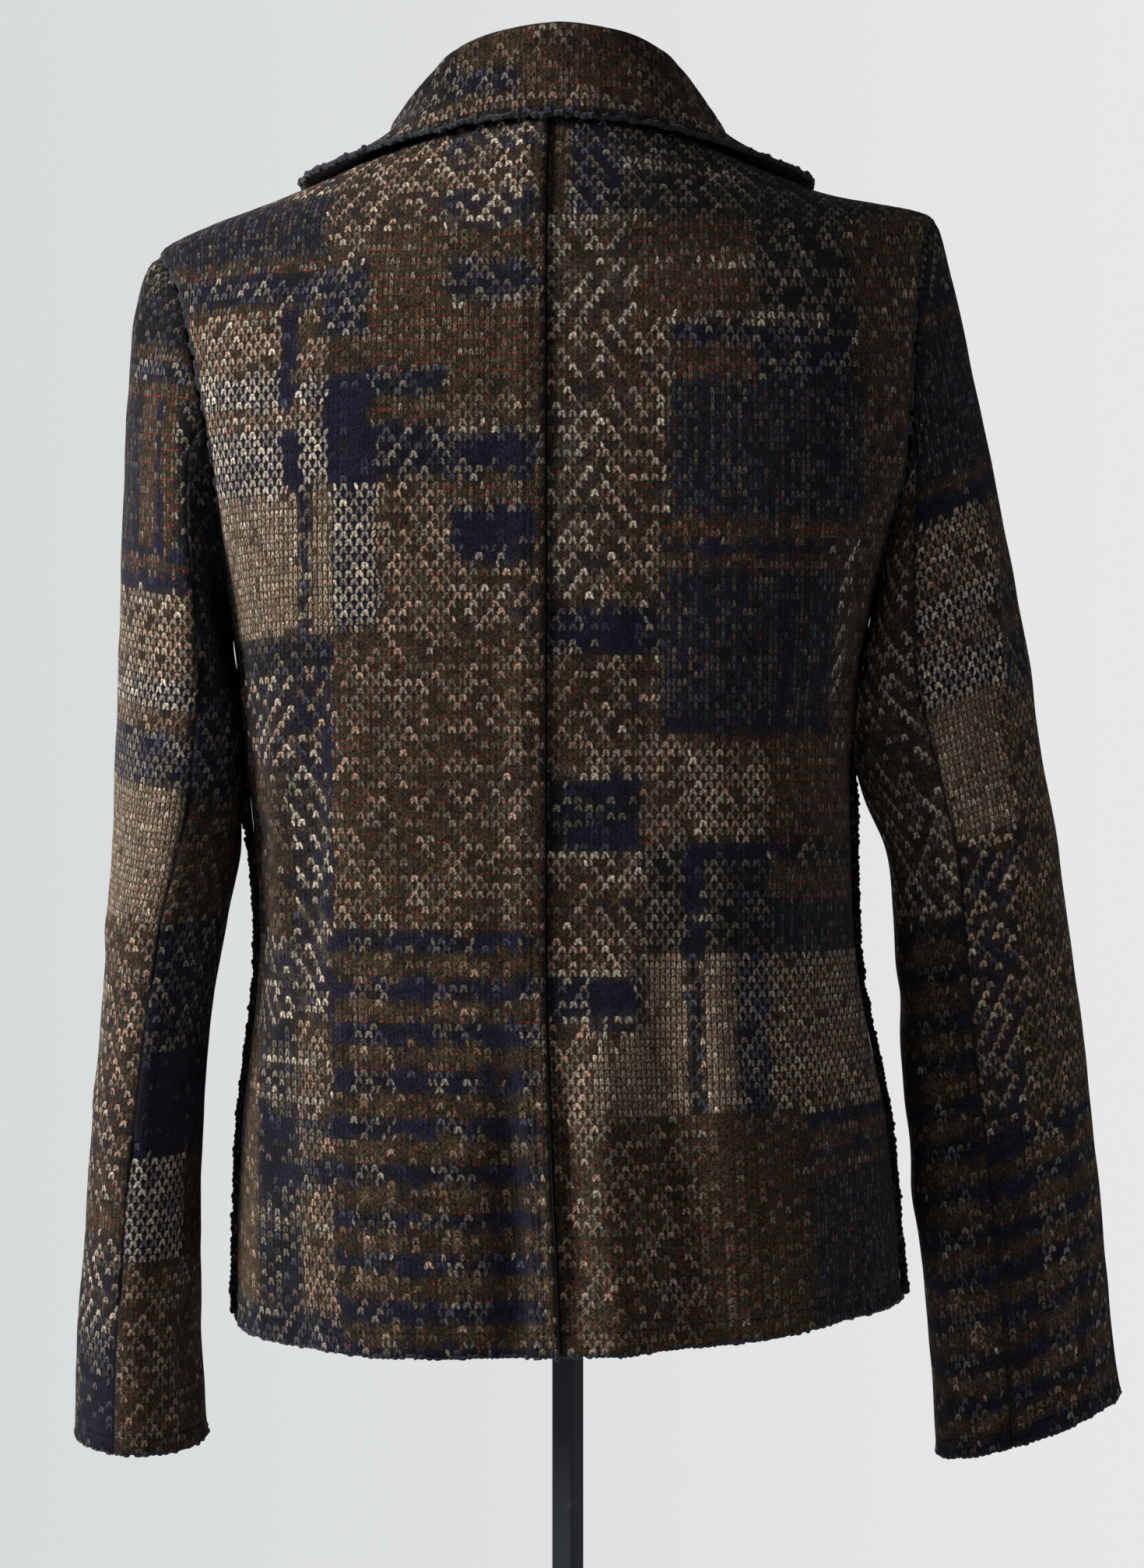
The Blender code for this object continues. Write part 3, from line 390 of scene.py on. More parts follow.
@dataclass
class Strip:
    """A piece of cloth cut from a surface of lines.

    Attributes:
        centre: Share of the way across the lines at which widths are zero.
        start: Share of the piece's first edge.
        end: Share of its last edge.
        sewn: Whether its sides and top are sewn, or else its sides are raw.
    """

    surface: Meridians
    centre: float
    start: float
    end: float
    sewn: bool = True
    spare: float = 0.04

    def shares(self, across: Array, along: Array) -> tuple[Array, Array, Array]:
        """Returns shares across the lines for widths on the cloth, and each row's widths at its edges."""
        surface = self.surface
        fine = np.linspace(self.start - self.spare, self.end + self.spare, 161)
        shares = np.empty((len(across), len(along)))
        first, last = np.empty(len(along)), np.empty(len(along))
        for row, height in enumerate(along):
            run = run_of(surface.sample(surface.points, fine, np.full(len(fine), height)))
            run -= np.interp(self.centre, fine, run)
            first[row], last[row] = np.interp([self.start, self.end], fine, run)
            shares[:, row] = np.interp(np.clip(across, first[row], last[row]), run, fine)
        return shares, first, last

    def lay(self, across: Array, along: Array) -> Laid:
        """Returns where the knots lie, measured from the centre and up from the raw edge."""
        surface = self.surface
        shares, first, last = self.shares(across, along)
        reach = surface.reach_at(shares)
        height = np.minimum(np.broadcast_to(along, shares.shape), reach)
        place = surface.sample(surface.points, shares, height)
        out = unit(surface.sample(surface.normals, shares, height))
        spread = np.clip(across[:, None], first, last)
        side = np.minimum(last - spread, spread - first)
        seam = np.minimum(side, reach - height) if self.sewn else np.full(shares.shape, FAR)
        raw = height if self.sewn else np.minimum(height, side)
        off = beyond(across, first, last) | (along[None, :] > reach + TINY)
        return Laid(place, out, spread, height, off, seam, raw)


# ---- yarns and designs


class Yarn(Enum):
    """Colours of the yarns, as red, green and blue from 0 to 255."""

    NAVY = (38, 38, 68)
    INK = (22, 22, 32)
    SLATE = (84, 84, 100)
    CHARCOAL = (50, 47, 45)
    SOOT = (28, 26, 26)
    ASH = (166, 154, 138)
    STONE = (122, 110, 94)
    OLIVE = (84, 68, 44)
    PEAT = (54, 44, 35)
    BROWN = (98, 77, 56)
    KHAKI = (136, 112, 86)
    CAMEL = (196, 162, 138)
    CREAM = (232, 214, 190)


@dataclass(frozen=True)
class Blend:
    """Yarns knitted together: the ground, its raised marks, and flecks of red.

    Attributes:
        ground: Yarns of the ground, picked cell by cell.
        marks: Yarns of the raised marks.
        marked: Share of the cells with a mark.
        red: Share of the stitches that are red, on the rows that take red.
    """

    ground: tuple[Yarn, ...]
    marks: tuple[Yarn, ...]
    marked: float = 0.5
    red: float = 0.0


class Motif(Enum):
    """How a design's second blend lies in its first, by columns and rows of cells."""

    MIXED = "mixed"
    ACROSS = "across"
    COURSES = "courses"
    RIB = "rib"


@dataclass(frozen=True)
class Design:
    """One small repeat of the cloth.

    Attributes:
        first: Blend of the ground.
        second: Blend of the figure.
        motif: How the second blend lies in the first.
        columns: Period and width of the figure across, in cells.
        lean: Cells by which the figure moves over from one row to the next.
        stray: Share of the stitches that go the other way.
        wide: Whether a stitch is two cells wide and shows both of its strokes.
    """

    first: Blend
    second: Blend | None = None
    motif: Motif = Motif.ACROSS
    columns: Two = (2, 2)
    lean: float = 0.0
    stray: float = 0.04
    wide: bool = True

    def halves(self, column: Array, row: Array) -> Array:
        """Returns 0 for a cell with the left half of a stitch, 1 for a right half, 2 for a lone stroke."""
        if not self.wide:
            return np.full(len(column), 2)
        return (column + self.lean * row) % self.columns[0] % 2 // 1

    def figure(self, column: Array, row: Array, dice: Array) -> Array:
        """Returns where the second blend shows.

        Args:
            column: Column numbers of the cells.
            row: Row numbers of the cells.
            dice: A random number from 0 to 1 for each stitch.
        """
        strays = dice * 7.0 % 1.0 < self.stray
        if self.second is None:
            return strays
        across = (column + self.lean * row) % self.columns[0] < self.columns[1]
        chosen = {
            Motif.MIXED: dice < self.columns[1] / self.columns[0],
            Motif.ACROSS: across,
            Motif.COURSES: row % 2 == 0,
            Motif.RIB: np.isin(column % 5, (0, 1, 3)) & across,
        }[self.motif]
        return chosen ^ strays


Y = Yarn
M = Motif
NAVY_GROUND = Blend((Y.NAVY, Y.NAVY, Y.INK), (Y.SLATE, Y.NAVY), 0.2)
INK_GROUND = Blend((Y.INK, Y.NAVY, Y.SOOT), (Y.SLATE, Y.CHARCOAL, Y.STONE), 0.5)
CHARCOAL_GROUND = Blend((Y.CHARCOAL, Y.SOOT, Y.INK), (Y.STONE, Y.CHARCOAL), 0.4)
OLIVE_GROUND = Blend((Y.OLIVE, Y.PEAT, Y.OLIVE, Y.BROWN), (Y.KHAKI, Y.STONE, Y.OLIVE), 0.5, 0.3)
PEAT_GROUND = Blend((Y.PEAT, Y.SOOT, Y.OLIVE), (Y.KHAKI, Y.STONE, Y.BROWN), 0.45, 0.06)
BROWN_GROUND = Blend((Y.BROWN, Y.PEAT, Y.OLIVE, Y.BROWN), (Y.KHAKI, Y.ASH, Y.BROWN, Y.STONE), 0.5, 0.35)
KHAKI_GROUND = Blend((Y.KHAKI, Y.BROWN, Y.OLIVE), (Y.CAMEL, Y.KHAKI), 0.4, 0.1)
MIXED_GROUND = Blend((Y.BROWN, Y.OLIVE, Y.PEAT, Y.NAVY, Y.OLIVE), (Y.KHAKI, Y.STONE, Y.BROWN), 0.45, 0.14)
NIGHT_GROUND = Blend((Y.NAVY, Y.INK, Y.PEAT, Y.NAVY), (Y.STONE, Y.SLATE, Y.CHARCOAL), 0.4)
CREAM_ON_NAVY = Blend((Y.NAVY, Y.INK), (Y.CREAM, Y.CREAM, Y.ASH), 1.0)
GREY_ON_INK = Blend((Y.INK, Y.NAVY), (Y.ASH, Y.STONE, Y.ASH, Y.SLATE), 0.95)
DIM_ON_INK = Blend((Y.INK, Y.SOOT), (Y.SLATE, Y.CHARCOAL, Y.STONE), 0.8)
DIM_ON_OLIVE = Blend((Y.CHARCOAL, Y.PEAT, Y.INK), (Y.STONE, Y.CHARCOAL, Y.SLATE), 0.85, 0.14)
GREY_ON_DARK = Blend((Y.CHARCOAL, Y.SOOT), (Y.ASH, Y.STONE, Y.STONE), 0.9)
CREAM_ON_GREY = Blend((Y.STONE, Y.CHARCOAL, Y.BROWN), (Y.CREAM, Y.CREAM, Y.ASH), 0.9)
CREAM_ON_BROWN = Blend((Y.BROWN, Y.PEAT), (Y.CREAM, Y.CAMEL, Y.ASH, Y.CAMEL), 0.92, 0.1)
CAMEL_ON_BROWN = Blend((Y.BROWN, Y.PEAT, Y.OLIVE), (Y.CAMEL, Y.ASH, Y.CAMEL, Y.STONE), 0.85, 0.2)
KHAKI_ON_OLIVE = Blend((Y.OLIVE, Y.PEAT), (Y.KHAKI, Y.STONE, Y.CAMEL), 0.85)
TAN_ROWS = Blend((Y.BROWN, Y.KHAKI, Y.BROWN), (Y.CAMEL, Y.CREAM, Y.CAMEL, Y.ASH), 0.98)
PICOT_EDGE = Blend((Y.BROWN, Y.PEAT, Y.OLIVE), (Y.CREAM, Y.CAMEL, Y.KHAKI), 0.55, 0.4)
RED_ROW = Blend((Y.OLIVE, Y.PEAT, Y.BROWN), (Y.KHAKI, Y.STONE, Y.ASH), 0.5, 0.85)


class Cloth(Enum):
    """The designs of the cloth."""

    NAVY = Design(NAVY_GROUND)
    INK = Design(INK_GROUND, DIM_ON_INK, lean=1)
    CHARCOAL = Design(CHARCOAL_GROUND, GREY_ON_DARK, columns=(4, 2), lean=1, stray=0.2)
    CHARCOAL_RIB = Design(NIGHT_GROUND, DIM_ON_OLIVE, M.RIB, columns=(8, 6), wide=False)
    NAVY_TWEED = Design(INK_GROUND, GREY_ON_INK, columns=(4, 2), lean=1, stray=0.2)
    GREY_TWEED = Design(INK_GROUND, GREY_ON_DARK, columns=(4, 2), lean=2, stray=0.15)
    GLEN = Design(NIGHT_GROUND, DIM_ON_INK, M.RIB, columns=(8, 6), wide=False)
    OLIVE = Design(OLIVE_GROUND, KHAKI_ON_OLIVE, columns=(6, 2), lean=3, stray=0.2)
    OLIVE_DARK = Design(PEAT_GROUND, OLIVE_GROUND, columns=(6, 3), lean=2)
    OLIVE_RED = Design(OLIVE_GROUND, RED_ROW, M.COURSES, wide=False)
    BROWN = Design(BROWN_GROUND, CAMEL_ON_BROWN, columns=(4, 2), lean=3, stray=0.32)
    BROWN_OLIVE = Design(OLIVE_GROUND, BROWN_GROUND, columns=(6, 3), lean=2)
    BROWN_DARK = Design(PEAT_GROUND, BROWN_GROUND, columns=(6, 2), lean=1, stray=0.25)
    KHAKI = Design(KHAKI_GROUND, OLIVE_GROUND, M.MIXED, columns=(5, 1))
    TAN = Design(TAN_ROWS, wide=False)
    PICOT = Design(PICOT_EDGE, wide=False)
    LIGHT_ROW = Design(CREAM_ON_GREY)
    CREAM_EYE = Design(NAVY_GROUND, CREAM_ON_NAVY, lean=1, stray=0.0)
    NAVY_EYE = Design(NAVY_GROUND, GREY_ON_INK, lean=1, stray=0.0)
    GREY_EYE = Design(INK_GROUND, GREY_ON_DARK, lean=1, stray=0.0)
    CAMEL_EYE = Design(BROWN_GROUND, CAMEL_ON_BROWN, lean=1, stray=0.0)
    KHAKI_EYE = Design(OLIVE_GROUND, CREAM_ON_BROWN, lean=1, stray=0.0)
    OLIVE_EYE = Design(OLIVE_GROUND, KHAKI_ON_OLIVE, lean=1, stray=0.0)
    LIGHT_TWEED = Design(NIGHT_GROUND, CREAM_ON_GREY, columns=(4, 2), lean=3, stray=0.1)
    HOUND = Design(NIGHT_GROUND, CREAM_ON_BROWN, columns=(4, 2), lean=1, stray=0.12)
    HOUND_BROWN = Design(MIXED_GROUND, CREAM_ON_BROWN, columns=(4, 2), lean=1, stray=0.22)
    HOUND_OLIVE = Design(MIXED_GROUND, CREAM_ON_GREY, columns=(4, 2), lean=3, stray=0.18)


C = Cloth
Patch = tuple[float, float, float, float, Cloth]


# ---- charts

# Each patch: its edges across and along the piece in centimetres, and its design.  Later ones lie
# over earlier ones.  The backs are measured out from the centre back seam and up from the hem, the
# sleeves back from their outer line and up from the cuff.


def stack(left: float, right: float, top: float, *fields: "float | Cloth") -> tuple[Patch, ...]:
    """Returns fields stacked in one column, from the top down.

    Args:
        left: Edge of the column.
        right: Its other edge.
        top: Upper edge of the first field.
        fields: The lower edge and then the design of each field.
    """
    lows = fields[::2]
    return tuple((left, right, *edges) for edges in zip(lows, (top, *lows), fields[1::2]))


def barred(columns: Sequence[Two], rows: Sequence[Two], whole: Sequence[float]) -> tuple[Patch, ...]:
    """Returns a barred field: khaki bars on charcoal, darker where navy columns cross them.

    Args:
        columns: Edges of the khaki columns.
        rows: Edges of the khaki rows.
        whole: The field's edges across and along.
    """
    left, right, low, high = whole
    field_of = [(*whole, C.NAVY)]
    field_of += [(a, b, low, high, C.NAVY_TWEED) for a, b in columns]
    field_of += [(left, right, a, b, C.OLIVE_DARK) for a, b in rows]
    field_of += [(*column, *row, C.KHAKI) for column in columns for row in rows]
    field_of += [(*column, row[0], row[0] + 0.35, C.OLIVE_RED) for column in columns for row in rows]
    return tuple(field_of)


BACK_BARS = barred(
    ((-1, 1.2), (3.5, 5.8), (7.8, 10.0)),
    (
        (18.8, 20.2), (16.6, 17.7), (14.3, 15.4), (11.8, 13.0), (9.5, 10.8), (7.2, 8.5), (5.0, 6.2),
        (2.8, 4.1), (0.6, 1.6),
    ),
    (-1, 11.2, 0, 21.2),
)
TOP_BARS = barred(
    ((0.2, 2.2), (3.2, 5.0)),
    ((14.2, 15.3), (11.9, 13.1), (9.8, 10.9), (7.6, 8.8), (5.4, 6.5), (3.2, 4.3), (1.0, 2.1)),
    (-30, 30, 0, 16.4),
)
UNDER_BARS = barred(
    ((1.0, 3.2), (5.2, 7.4), (10, 13)),
    (
        (26.0, 27.4), (23.6, 25.0), (21.3, 22.6), (19.0, 20.3), (16.8, 18.0), (14.4, 15.7), (12.2, 13.4),
        (9.9, 11.1), (7.6, 8.8), (5.3, 6.6), (3.1, 4.3), (0.8, 2.0),
    ),
    (-30, 30, 0, 28.2),
)
CHARTS: dict[str, tuple[Patch, ...]] = {
    "back_left": (
        (-5, 60, 0, 90, C.BROWN), (5.1, 40, 56.8, 90, C.HOUND_BROWN), (-1, 5.4, 57, 90, C.LIGHT_TWEED),
        (-1, 5.4, 59.2, 61.4, C.HOUND_BROWN), *stack(-1, 5, 57, 55.2, C.OLIVE_DARK, 53, C.NAVY_TWEED,
            49.4, C.OLIVE_RED, 46.8, C.OLIVE, 46.4, C.LIGHT_ROW, 44, C.NAVY_TWEED),
        (5, 9.2, 49.6, 57, C.OLIVE_RED), (9.2, 11.5, 55, 57, C.HOUND_BROWN), *stack(9, 11.5, 55,
            51.5, C.NAVY_TWEED, 49.5, C.OLIVE_DARK), (-1, 5, 52.8, 53.2, C.LIGHT_ROW),
        (8.8, 11.2, 46.6, 49.5, C.NAVY), *stack(5, 8.8, 49.6, 48.2, C.NAVY_TWEED, 46.8, C.OLIVE_RED),
        (11.6, 40, 55.4, 60, C.CHARCOAL_RIB), (11.6, 40, 55, 55.6, C.OLIVE_RED), *stack(11.5, 40, 55,
            53.2, C.NAVY_TWEED, 52.8, C.OLIVE_RED), (13.9, 40, 49.5, 52.8, C.KHAKI_EYE),
        (12.9, 13.9, 47.5, 53, C.NAVY), (11.2, 12.9, 49.2, 52.8, C.CAMEL_EYE),
        (13.8, 40, 47.8, 49.5, C.CREAM_EYE), (11.2, 12.8, 47.8, 49.2, C.CREAM_EYE),
        (11.2, 40, 46.7, 47.8, C.KHAKI_EYE), (13.5, 40, 43.3, 46.7, C.CREAM_EYE),
        (12.5, 13.5, 43.6, 46.8, C.NAVY), (11, 12.5, 43.8, 46.8, C.CREAM_EYE),
        (8.5, 11, 43.8, 46.6, C.NAVY), (5, 8.5, 44, 46.8, C.NAVY_TWEED), (1.2, 3.6, 44.8, 45.9, C.NAVY),
        (12.6, 40, 36.4, 43.3, C.TAN), (12, 12.6, 36.2, 43.8, C.NAVY_TWEED), (10.8, 12, 36.5, 43.8, C.TAN),
        (8.5, 10.8, 36.5, 43.8, C.CREAM_EYE), (4.8, 8.5, 36.4, 43.9, C.CAMEL_EYE), *stack(-1, 4.8, 44,
            42.8, C.OLIVE_RED, 39.8, C.NAVY_TWEED, 36, C.HOUND_BROWN), (0.4, 4.6, 40.6, 42.2, C.NAVY),
        (10.9, 40, 34.2, 36.4, C.INK), (10.9, 40, 29.5, 34.4, C.HOUND), (13.1, 40, 21, 29.5, C.BROWN_DARK),
        (11.1, 13.6, 21, 30.6, C.LIGHT_TWEED), (10.9, 11.2, 21, 36, C.NAVY),
        (11.2, 40, 11.5, 21, C.LIGHT_TWEED), (17.2, 40, 11.5, 21, C.KHAKI_EYE), (17.2, 40, 0, 16, C.KHAKI),
        (13.9, 17.2, 2, 16.4, C.GREY_TWEED), (11.2, 13.9, 2, 16.6, C.CAMEL_EYE),
        (13.6, 16.8, 10.4, 11.6, C.NAVY), (11, 13.6, 10.6, 11.6, C.NAVY_TWEED),
        (13.8, 16.9, 8, 9.1, C.NAVY), (11.2, 13.8, 8.1, 9.4, C.NAVY_TWEED),
        (11.2, 17, 14.3, 14.7, C.LIGHT_ROW), (11.2, 17, 12.3, 12.7, C.LIGHT_ROW),
        (11.2, 17, 6, 6.4, C.LIGHT_ROW), (11.2, 40, 0, 1.8, C.NAVY_TWEED), *BACK_BARS,
        (-1, 0.36, 0, 90, C.PICOT),
    ),
    "back_right": (
        (-5, 60, 0, 90, C.HOUND_OLIVE), (-5, 1.2, 57.5, 90, C.OLIVE_DARK),
        (1.2, 3.9, 57.5, 90, C.NAVY_TWEED), (3.9, 40, 57.4, 90, C.CHARCOAL),
        (3.9, 11, 60.6, 61, C.LIGHT_ROW), (11.4, 40, 57.4, 90, C.INK), (-5, 4.5, 52, 57.5, C.HOUND_OLIVE),
        (-1, 5, 57.3, 57.7, C.LIGHT_ROW), (4.5, 11, 52.2, 57.5, C.OLIVE_RED),
        (4.5, 14.8, 54.7, 55.1, C.LIGHT_ROW), (11, 16.6, 52.2, 57.4, C.CHARCOAL),
        (16.6, 40, 50.4, 57.4, C.OLIVE), *stack(6.5, 10.8, 52.2, 50.8, C.NAVY_TWEED, 49, C.OLIVE_RED),
        (6, 14.8, 52, 52.4, C.LIGHT_ROW), (10.8, 16.1, 49.1, 52, C.NAVY_TWEED),
        (16.1, 40, 49.1, 50.4, C.OLIVE_DARK), (-5, 6.2, 46, 52, C.HOUND_BROWN),
        (-5, 2.8, 37.5, 47.6, C.HOUND_OLIVE), (2.8, 6, 37.5, 47.8, C.HOUND_BROWN),
        (6.2, 16.5, 42, 49.1, C.CHARCOAL_RIB), (16.5, 40, 31, 49.1, C.BROWN_DARK),
        (5.8, 16.4, 40.9, 42, C.OLIVE_RED), *stack(5.8, 15.6, 40.9, 40.2, C.NAVY, 39.6, C.OLIVE_RED),
        (5.8, 15.4, 31.8, 39.6, C.CHARCOAL_RIB), (-5, 5.8, 35.2, 37.5, C.NAVY_TWEED),
        (1.8, 4.9, 35.3, 37.4, C.NAVY), (-5, 1.8, 29.4, 35.2, C.BROWN),
        (1.8, 5.5, 29.4, 35.2, C.HOUND_BROWN), (-1, 4.8, 29, 29.4, C.LIGHT_ROW),
        (5.8, 15.8, 31.2, 31.8, C.NAVY), (5.8, 15.9, 30.5, 31.2, C.OLIVE_RED),
        (-5, 4.8, 25.2, 29, C.GREY_TWEED), (1.2, 4.8, 28.2, 29, C.NAVY), (1.2, 4.8, 25.4, 26.6, C.NAVY),
        (-1, 4.8, 24.8, 25.2, C.LIGHT_ROW), (4.8, 7.2, 25.8, 31, C.CAMEL_EYE),
        (7.2, 11.5, 25.8, 30.5, C.KHAKI_EYE), (11.5, 40, 25.8, 30.5, C.OLIVE_RED),
        (-5, 5, 19.2, 24.8, C.HOUND_BROWN), (-1, 5, 18.9, 19.3, C.LIGHT_ROW), (5, 7, 20, 25.8, C.GREY_EYE),
        (7, 12.5, 24.8, 25.8, C.NAVY), (12.5, 40, 24.4, 25.8, C.CHARCOAL), (7, 8, 20.2, 24.8, C.NAVY),
        (8, 9.2, 20.2, 24.8, C.GREY_EYE), (9.2, 11.5, 20.2, 24.8, C.INK), *stack(11.5, 40, 24.4,
            23, C.OLIVE_RED, 20, C.CHARCOAL_RIB), (-5, 4.5, 16.2, 18.9, C.NAVY_TWEED),
        (2.2, 4.5, 16.2, 19, C.NAVY), (-1, 4.5, 16.5, 16.9, C.LIGHT_ROW), (4.5, 5.2, 16.2, 20, C.GREY_EYE),
        (5.1, 7.1, 11.8, 20, C.TAN), (7.1, 7.9, 11.8, 20.2, C.INK), (7.9, 9.5, 11.8, 20.2, C.TAN),
        (9.5, 11.4, 11.9, 20.1, C.NAVY_EYE), (11.4, 40, 11.6, 20, C.KHAKI_EYE),
        (-5, 2.2, 11.9, 16.5, C.CAMEL_EYE), (2.2, 5.1, 11.9, 16, C.TAN), (-5, 13.5, 0, 11.8, C.BROWN),
        (7.5, 13.5, 0, 11.8, C.BROWN_OLIVE), (13.5, 40, 0, 11.6, C.CHARCOAL_RIB), *stack(13.5, 40, 11.5,
            10.8, C.NAVY, 9.6, C.OLIVE_RED, 8.9, C.NAVY, 8.4, C.OLIVE_RED),
    ),
    "top_sleeve_left": (
        (-30, 30, 0, 90, C.CHARCOAL), *stack(-30, 30, 61, 57.9, C.INK, 57.3, C.OLIVE_RED, 56, C.NAVY_TWEED,
            55.4, C.OLIVE_RED), (-30, 2.8, 47.4, 55.4, C.CHARCOAL_RIB), (2.8, 4.5, 47.4, 55.4, C.OLIVE_RED),
        (4.5, 5.1, 47.4, 55.4, C.NAVY), (5.1, 6.1, 47.4, 55.4, C.OLIVE_RED),
        (6.1, 30, 47.4, 55.4, C.CHARCOAL), *stack(-30, 30, 47.4, 46.8, C.NAVY, 46.1, C.OLIVE_RED,
            45.1, C.NAVY, 40.6, C.KHAKI_EYE, 39.1, C.CREAM_EYE, 37.9, C.CAMEL_EYE, 35.1, C.NAVY_EYE,
            27.9, C.TAN, 25.1, C.BROWN, 12.8, C.HOUND_BROWN, 11.6, C.OLIVE_RED, 7.9, C.HOUND,
            6.4, C.LIGHT_TWEED, 3.9, C.NAVY_TWEED, 0, C.NAVY), (-30, 4, 13, 19, C.HOUND),
        (-30, 4.2, 0, 4.5, C.CHARCOAL),
    ),
    "under_sleeve_left": (
        (-30, 30, 0, 90, C.INK), *stack(-30, 30, 39.6, 34.5, C.NAVY_TWEED, 28, C.BROWN_DARK,
            21.2, C.NAVY_TWEED, 15.9, C.NAVY), (-30, 3.8, 10.2, 15.9, C.CREAM_EYE),
        (3.8, 30, 8.8, 15.9, C.OLIVE_DARK), (-30, 30, 0, 10.2, C.BROWN), (3.8, 30, 0, 8.8, C.BROWN_DARK),
    ),
    "top_sleeve_right": (
        (-30, 30, 0, 90, C.CHARCOAL), *stack(-30, 30, 60, 59, C.NAVY, 58.2, C.OLIVE_DARK, 50.2, C.GLEN,
            49.6, C.OLIVE_RED, 48.4, C.NAVY, 44.4, C.KHAKI_EYE, 43, C.CREAM_EYE, 41.6, C.KHAKI_EYE,
            39.1, C.CREAM_EYE, 32, C.TAN, 16.4, C.HOUND), (-30, 2.4, 43.9, 48.4, C.OLIVE),
        (-30, 2.8, 42.4, 43.9, C.CHARCOAL), (-30, 2.9, 41.2, 42.4, C.OLIVE),
        (-30, 3.1, 38.5, 41.2, C.NAVY_TWEED), (-30, 4, 30, 38.5, C.OLIVE_EYE),
        (-30, 4.6, 22, 30, C.OLIVE_EYE), (-30, 5, 16.4, 22, C.OLIVE_EYE), *TOP_BARS,
    ),
    "under_sleeve_right": (
        (-30, 30, 0, 90, C.HOUND_BROWN), (-30, 30, 28, 48, C.HOUND_OLIVE), *UNDER_BARS,
    ),
    "collar": (
        (-60, 60, 0, 20, C.CHARCOAL), (-9, 5.5, 0, 20, C.BROWN_DARK), (-4.5, 2.2, 1.6, 3.2, C.OLIVE_RED),
        (2, 6, 1.4, 2.8, C.NAVY_TWEED), (-9, 9, 0.45, 1.2, C.CAMEL_EYE), (-60, 60, 0, 0.45, C.INK),
    ),
}
CHARTS |= {
    f"{part}_{side}": CHARTS[f"back_{side}"] for part in ("front", "lapel") for side in ("left", "right")
}
CHARTS |= dict.fromkeys(("side_seam_left", "side_seam_right"), ((-1, 9, -1, 99, C.INK),))


def light_of(colour: Sequence[float]) -> tuple[float, ...]:
    """Returns a colour given from 0 to 255 as the linear light that shaders use."""
    shares = (channel / 255 for channel in colour)
    return tuple(s / 12.92 if s < 0.04045 else ((s + 0.055) / 1.055) ** 2.4 for s in shares)


@dataclass
class Chart:
    """The designs laid out on one piece of cloth.

    Attributes:
        patches: The patches, in centimetres.
        seed: Number that fixes its random picks.
        shift: How far the patches are moved across and along, in centimetres.
    """

    patches: Sequence[Patch]
    seed: int
    shift: Two = (0.0, 0.0)

    def paint(self, across: Array, along: Array) -> Pair:
        """Picks the yarns of cells.

        Args:
            across: Place of each cell across the piece, in metres.
            along: Place of each cell along it.

        Returns:
            Each cell's ground colour with its share of red, and its mark's colour with which half of a
            stitch it shows: none 0, left 1, right 2, a lone stroke 3.
        """
        dice = np.random.default_rng(self.seed)
        column, row = np.floor(across / CELL_WIDTH), np.floor(along / CELL_HEIGHT)
        x = (column + 0.5) * CELL_WIDTH * 100 - self.shift[0]
        y = (row + 0.5) * CELL_HEIGHT * 100 - self.shift[1]
        ragged = dice.normal(0.0, 0.11, (2, len(x)))
        x, y = x + ragged[0], y + ragged[1]
        ground, mark = np.zeros((len(x), 4)), np.zeros((len(x), 4))
        table = dice.random((5, 32749))
        for left, right, low, high, cloth in self.patches:
            inside = np.flatnonzero((x >= left) & (x < right) & (y >= low) & (y < high))
            if len(inside) == 0:
                continue
            design: Design = cloth.value
            start = math.floor(left * 0.01 / CELL_WIDTH), math.floor(low * 0.01 / CELL_HEIGHT)
            place = column[inside] - start[0], row[inside] - start[1]
            half = design.halves(*place)
            stitch = column[inside] - (half == 1) + 641 * row[inside]
            picks = table[:, stitch.astype(int) % table.shape[1]]
            figure = design.figure(*place, picks[0])
            for blend, kept in ((design.first, ~figure), (design.second, figure)):
                if blend is None or not kept.any():
                    continue
                chosen = inside[kept]
                for yarns, target, pick, share in (
                    (blend.ground, ground, picks[1], 0.6), (blend.marks, mark, picks[2], 0.75),
                ):
                    colours = np.array([light_of(yarn.value) for yarn in yarns])
                    picked = colours[(pick[kept] * len(yarns)).astype(int)]
                    target[chosen, :3] = share * picked + (1 - share) * colours.mean(axis=0)
                ground[chosen, 3] = np.where(place[1][kept] % 2 == 0, blend.red, 0.5 * blend.red)
                mark[chosen, 3] = (1 + half[kept]) * (picks[3, kept] < blend.marked)
        return ground, mark


# ---- shader maths


def maths(operation: str, turned: bool = False) -> Callable[..., "Shade"]:
    """Returns a method that adds a Math node on a number and what the method is given.

    Args:
        operation: The node's operation.
        turned: Whether the number comes last.
    """

    def method(shade: "Shade", *others: "Shade | float") -> "Shade":
        """Returns the operation's result."""
        values = (*others, shade) if turned else (shade, *others)
        return shade.bench.value("ShaderNodeMath", {"operation": operation}, dict(enumerate(values)))

    return method


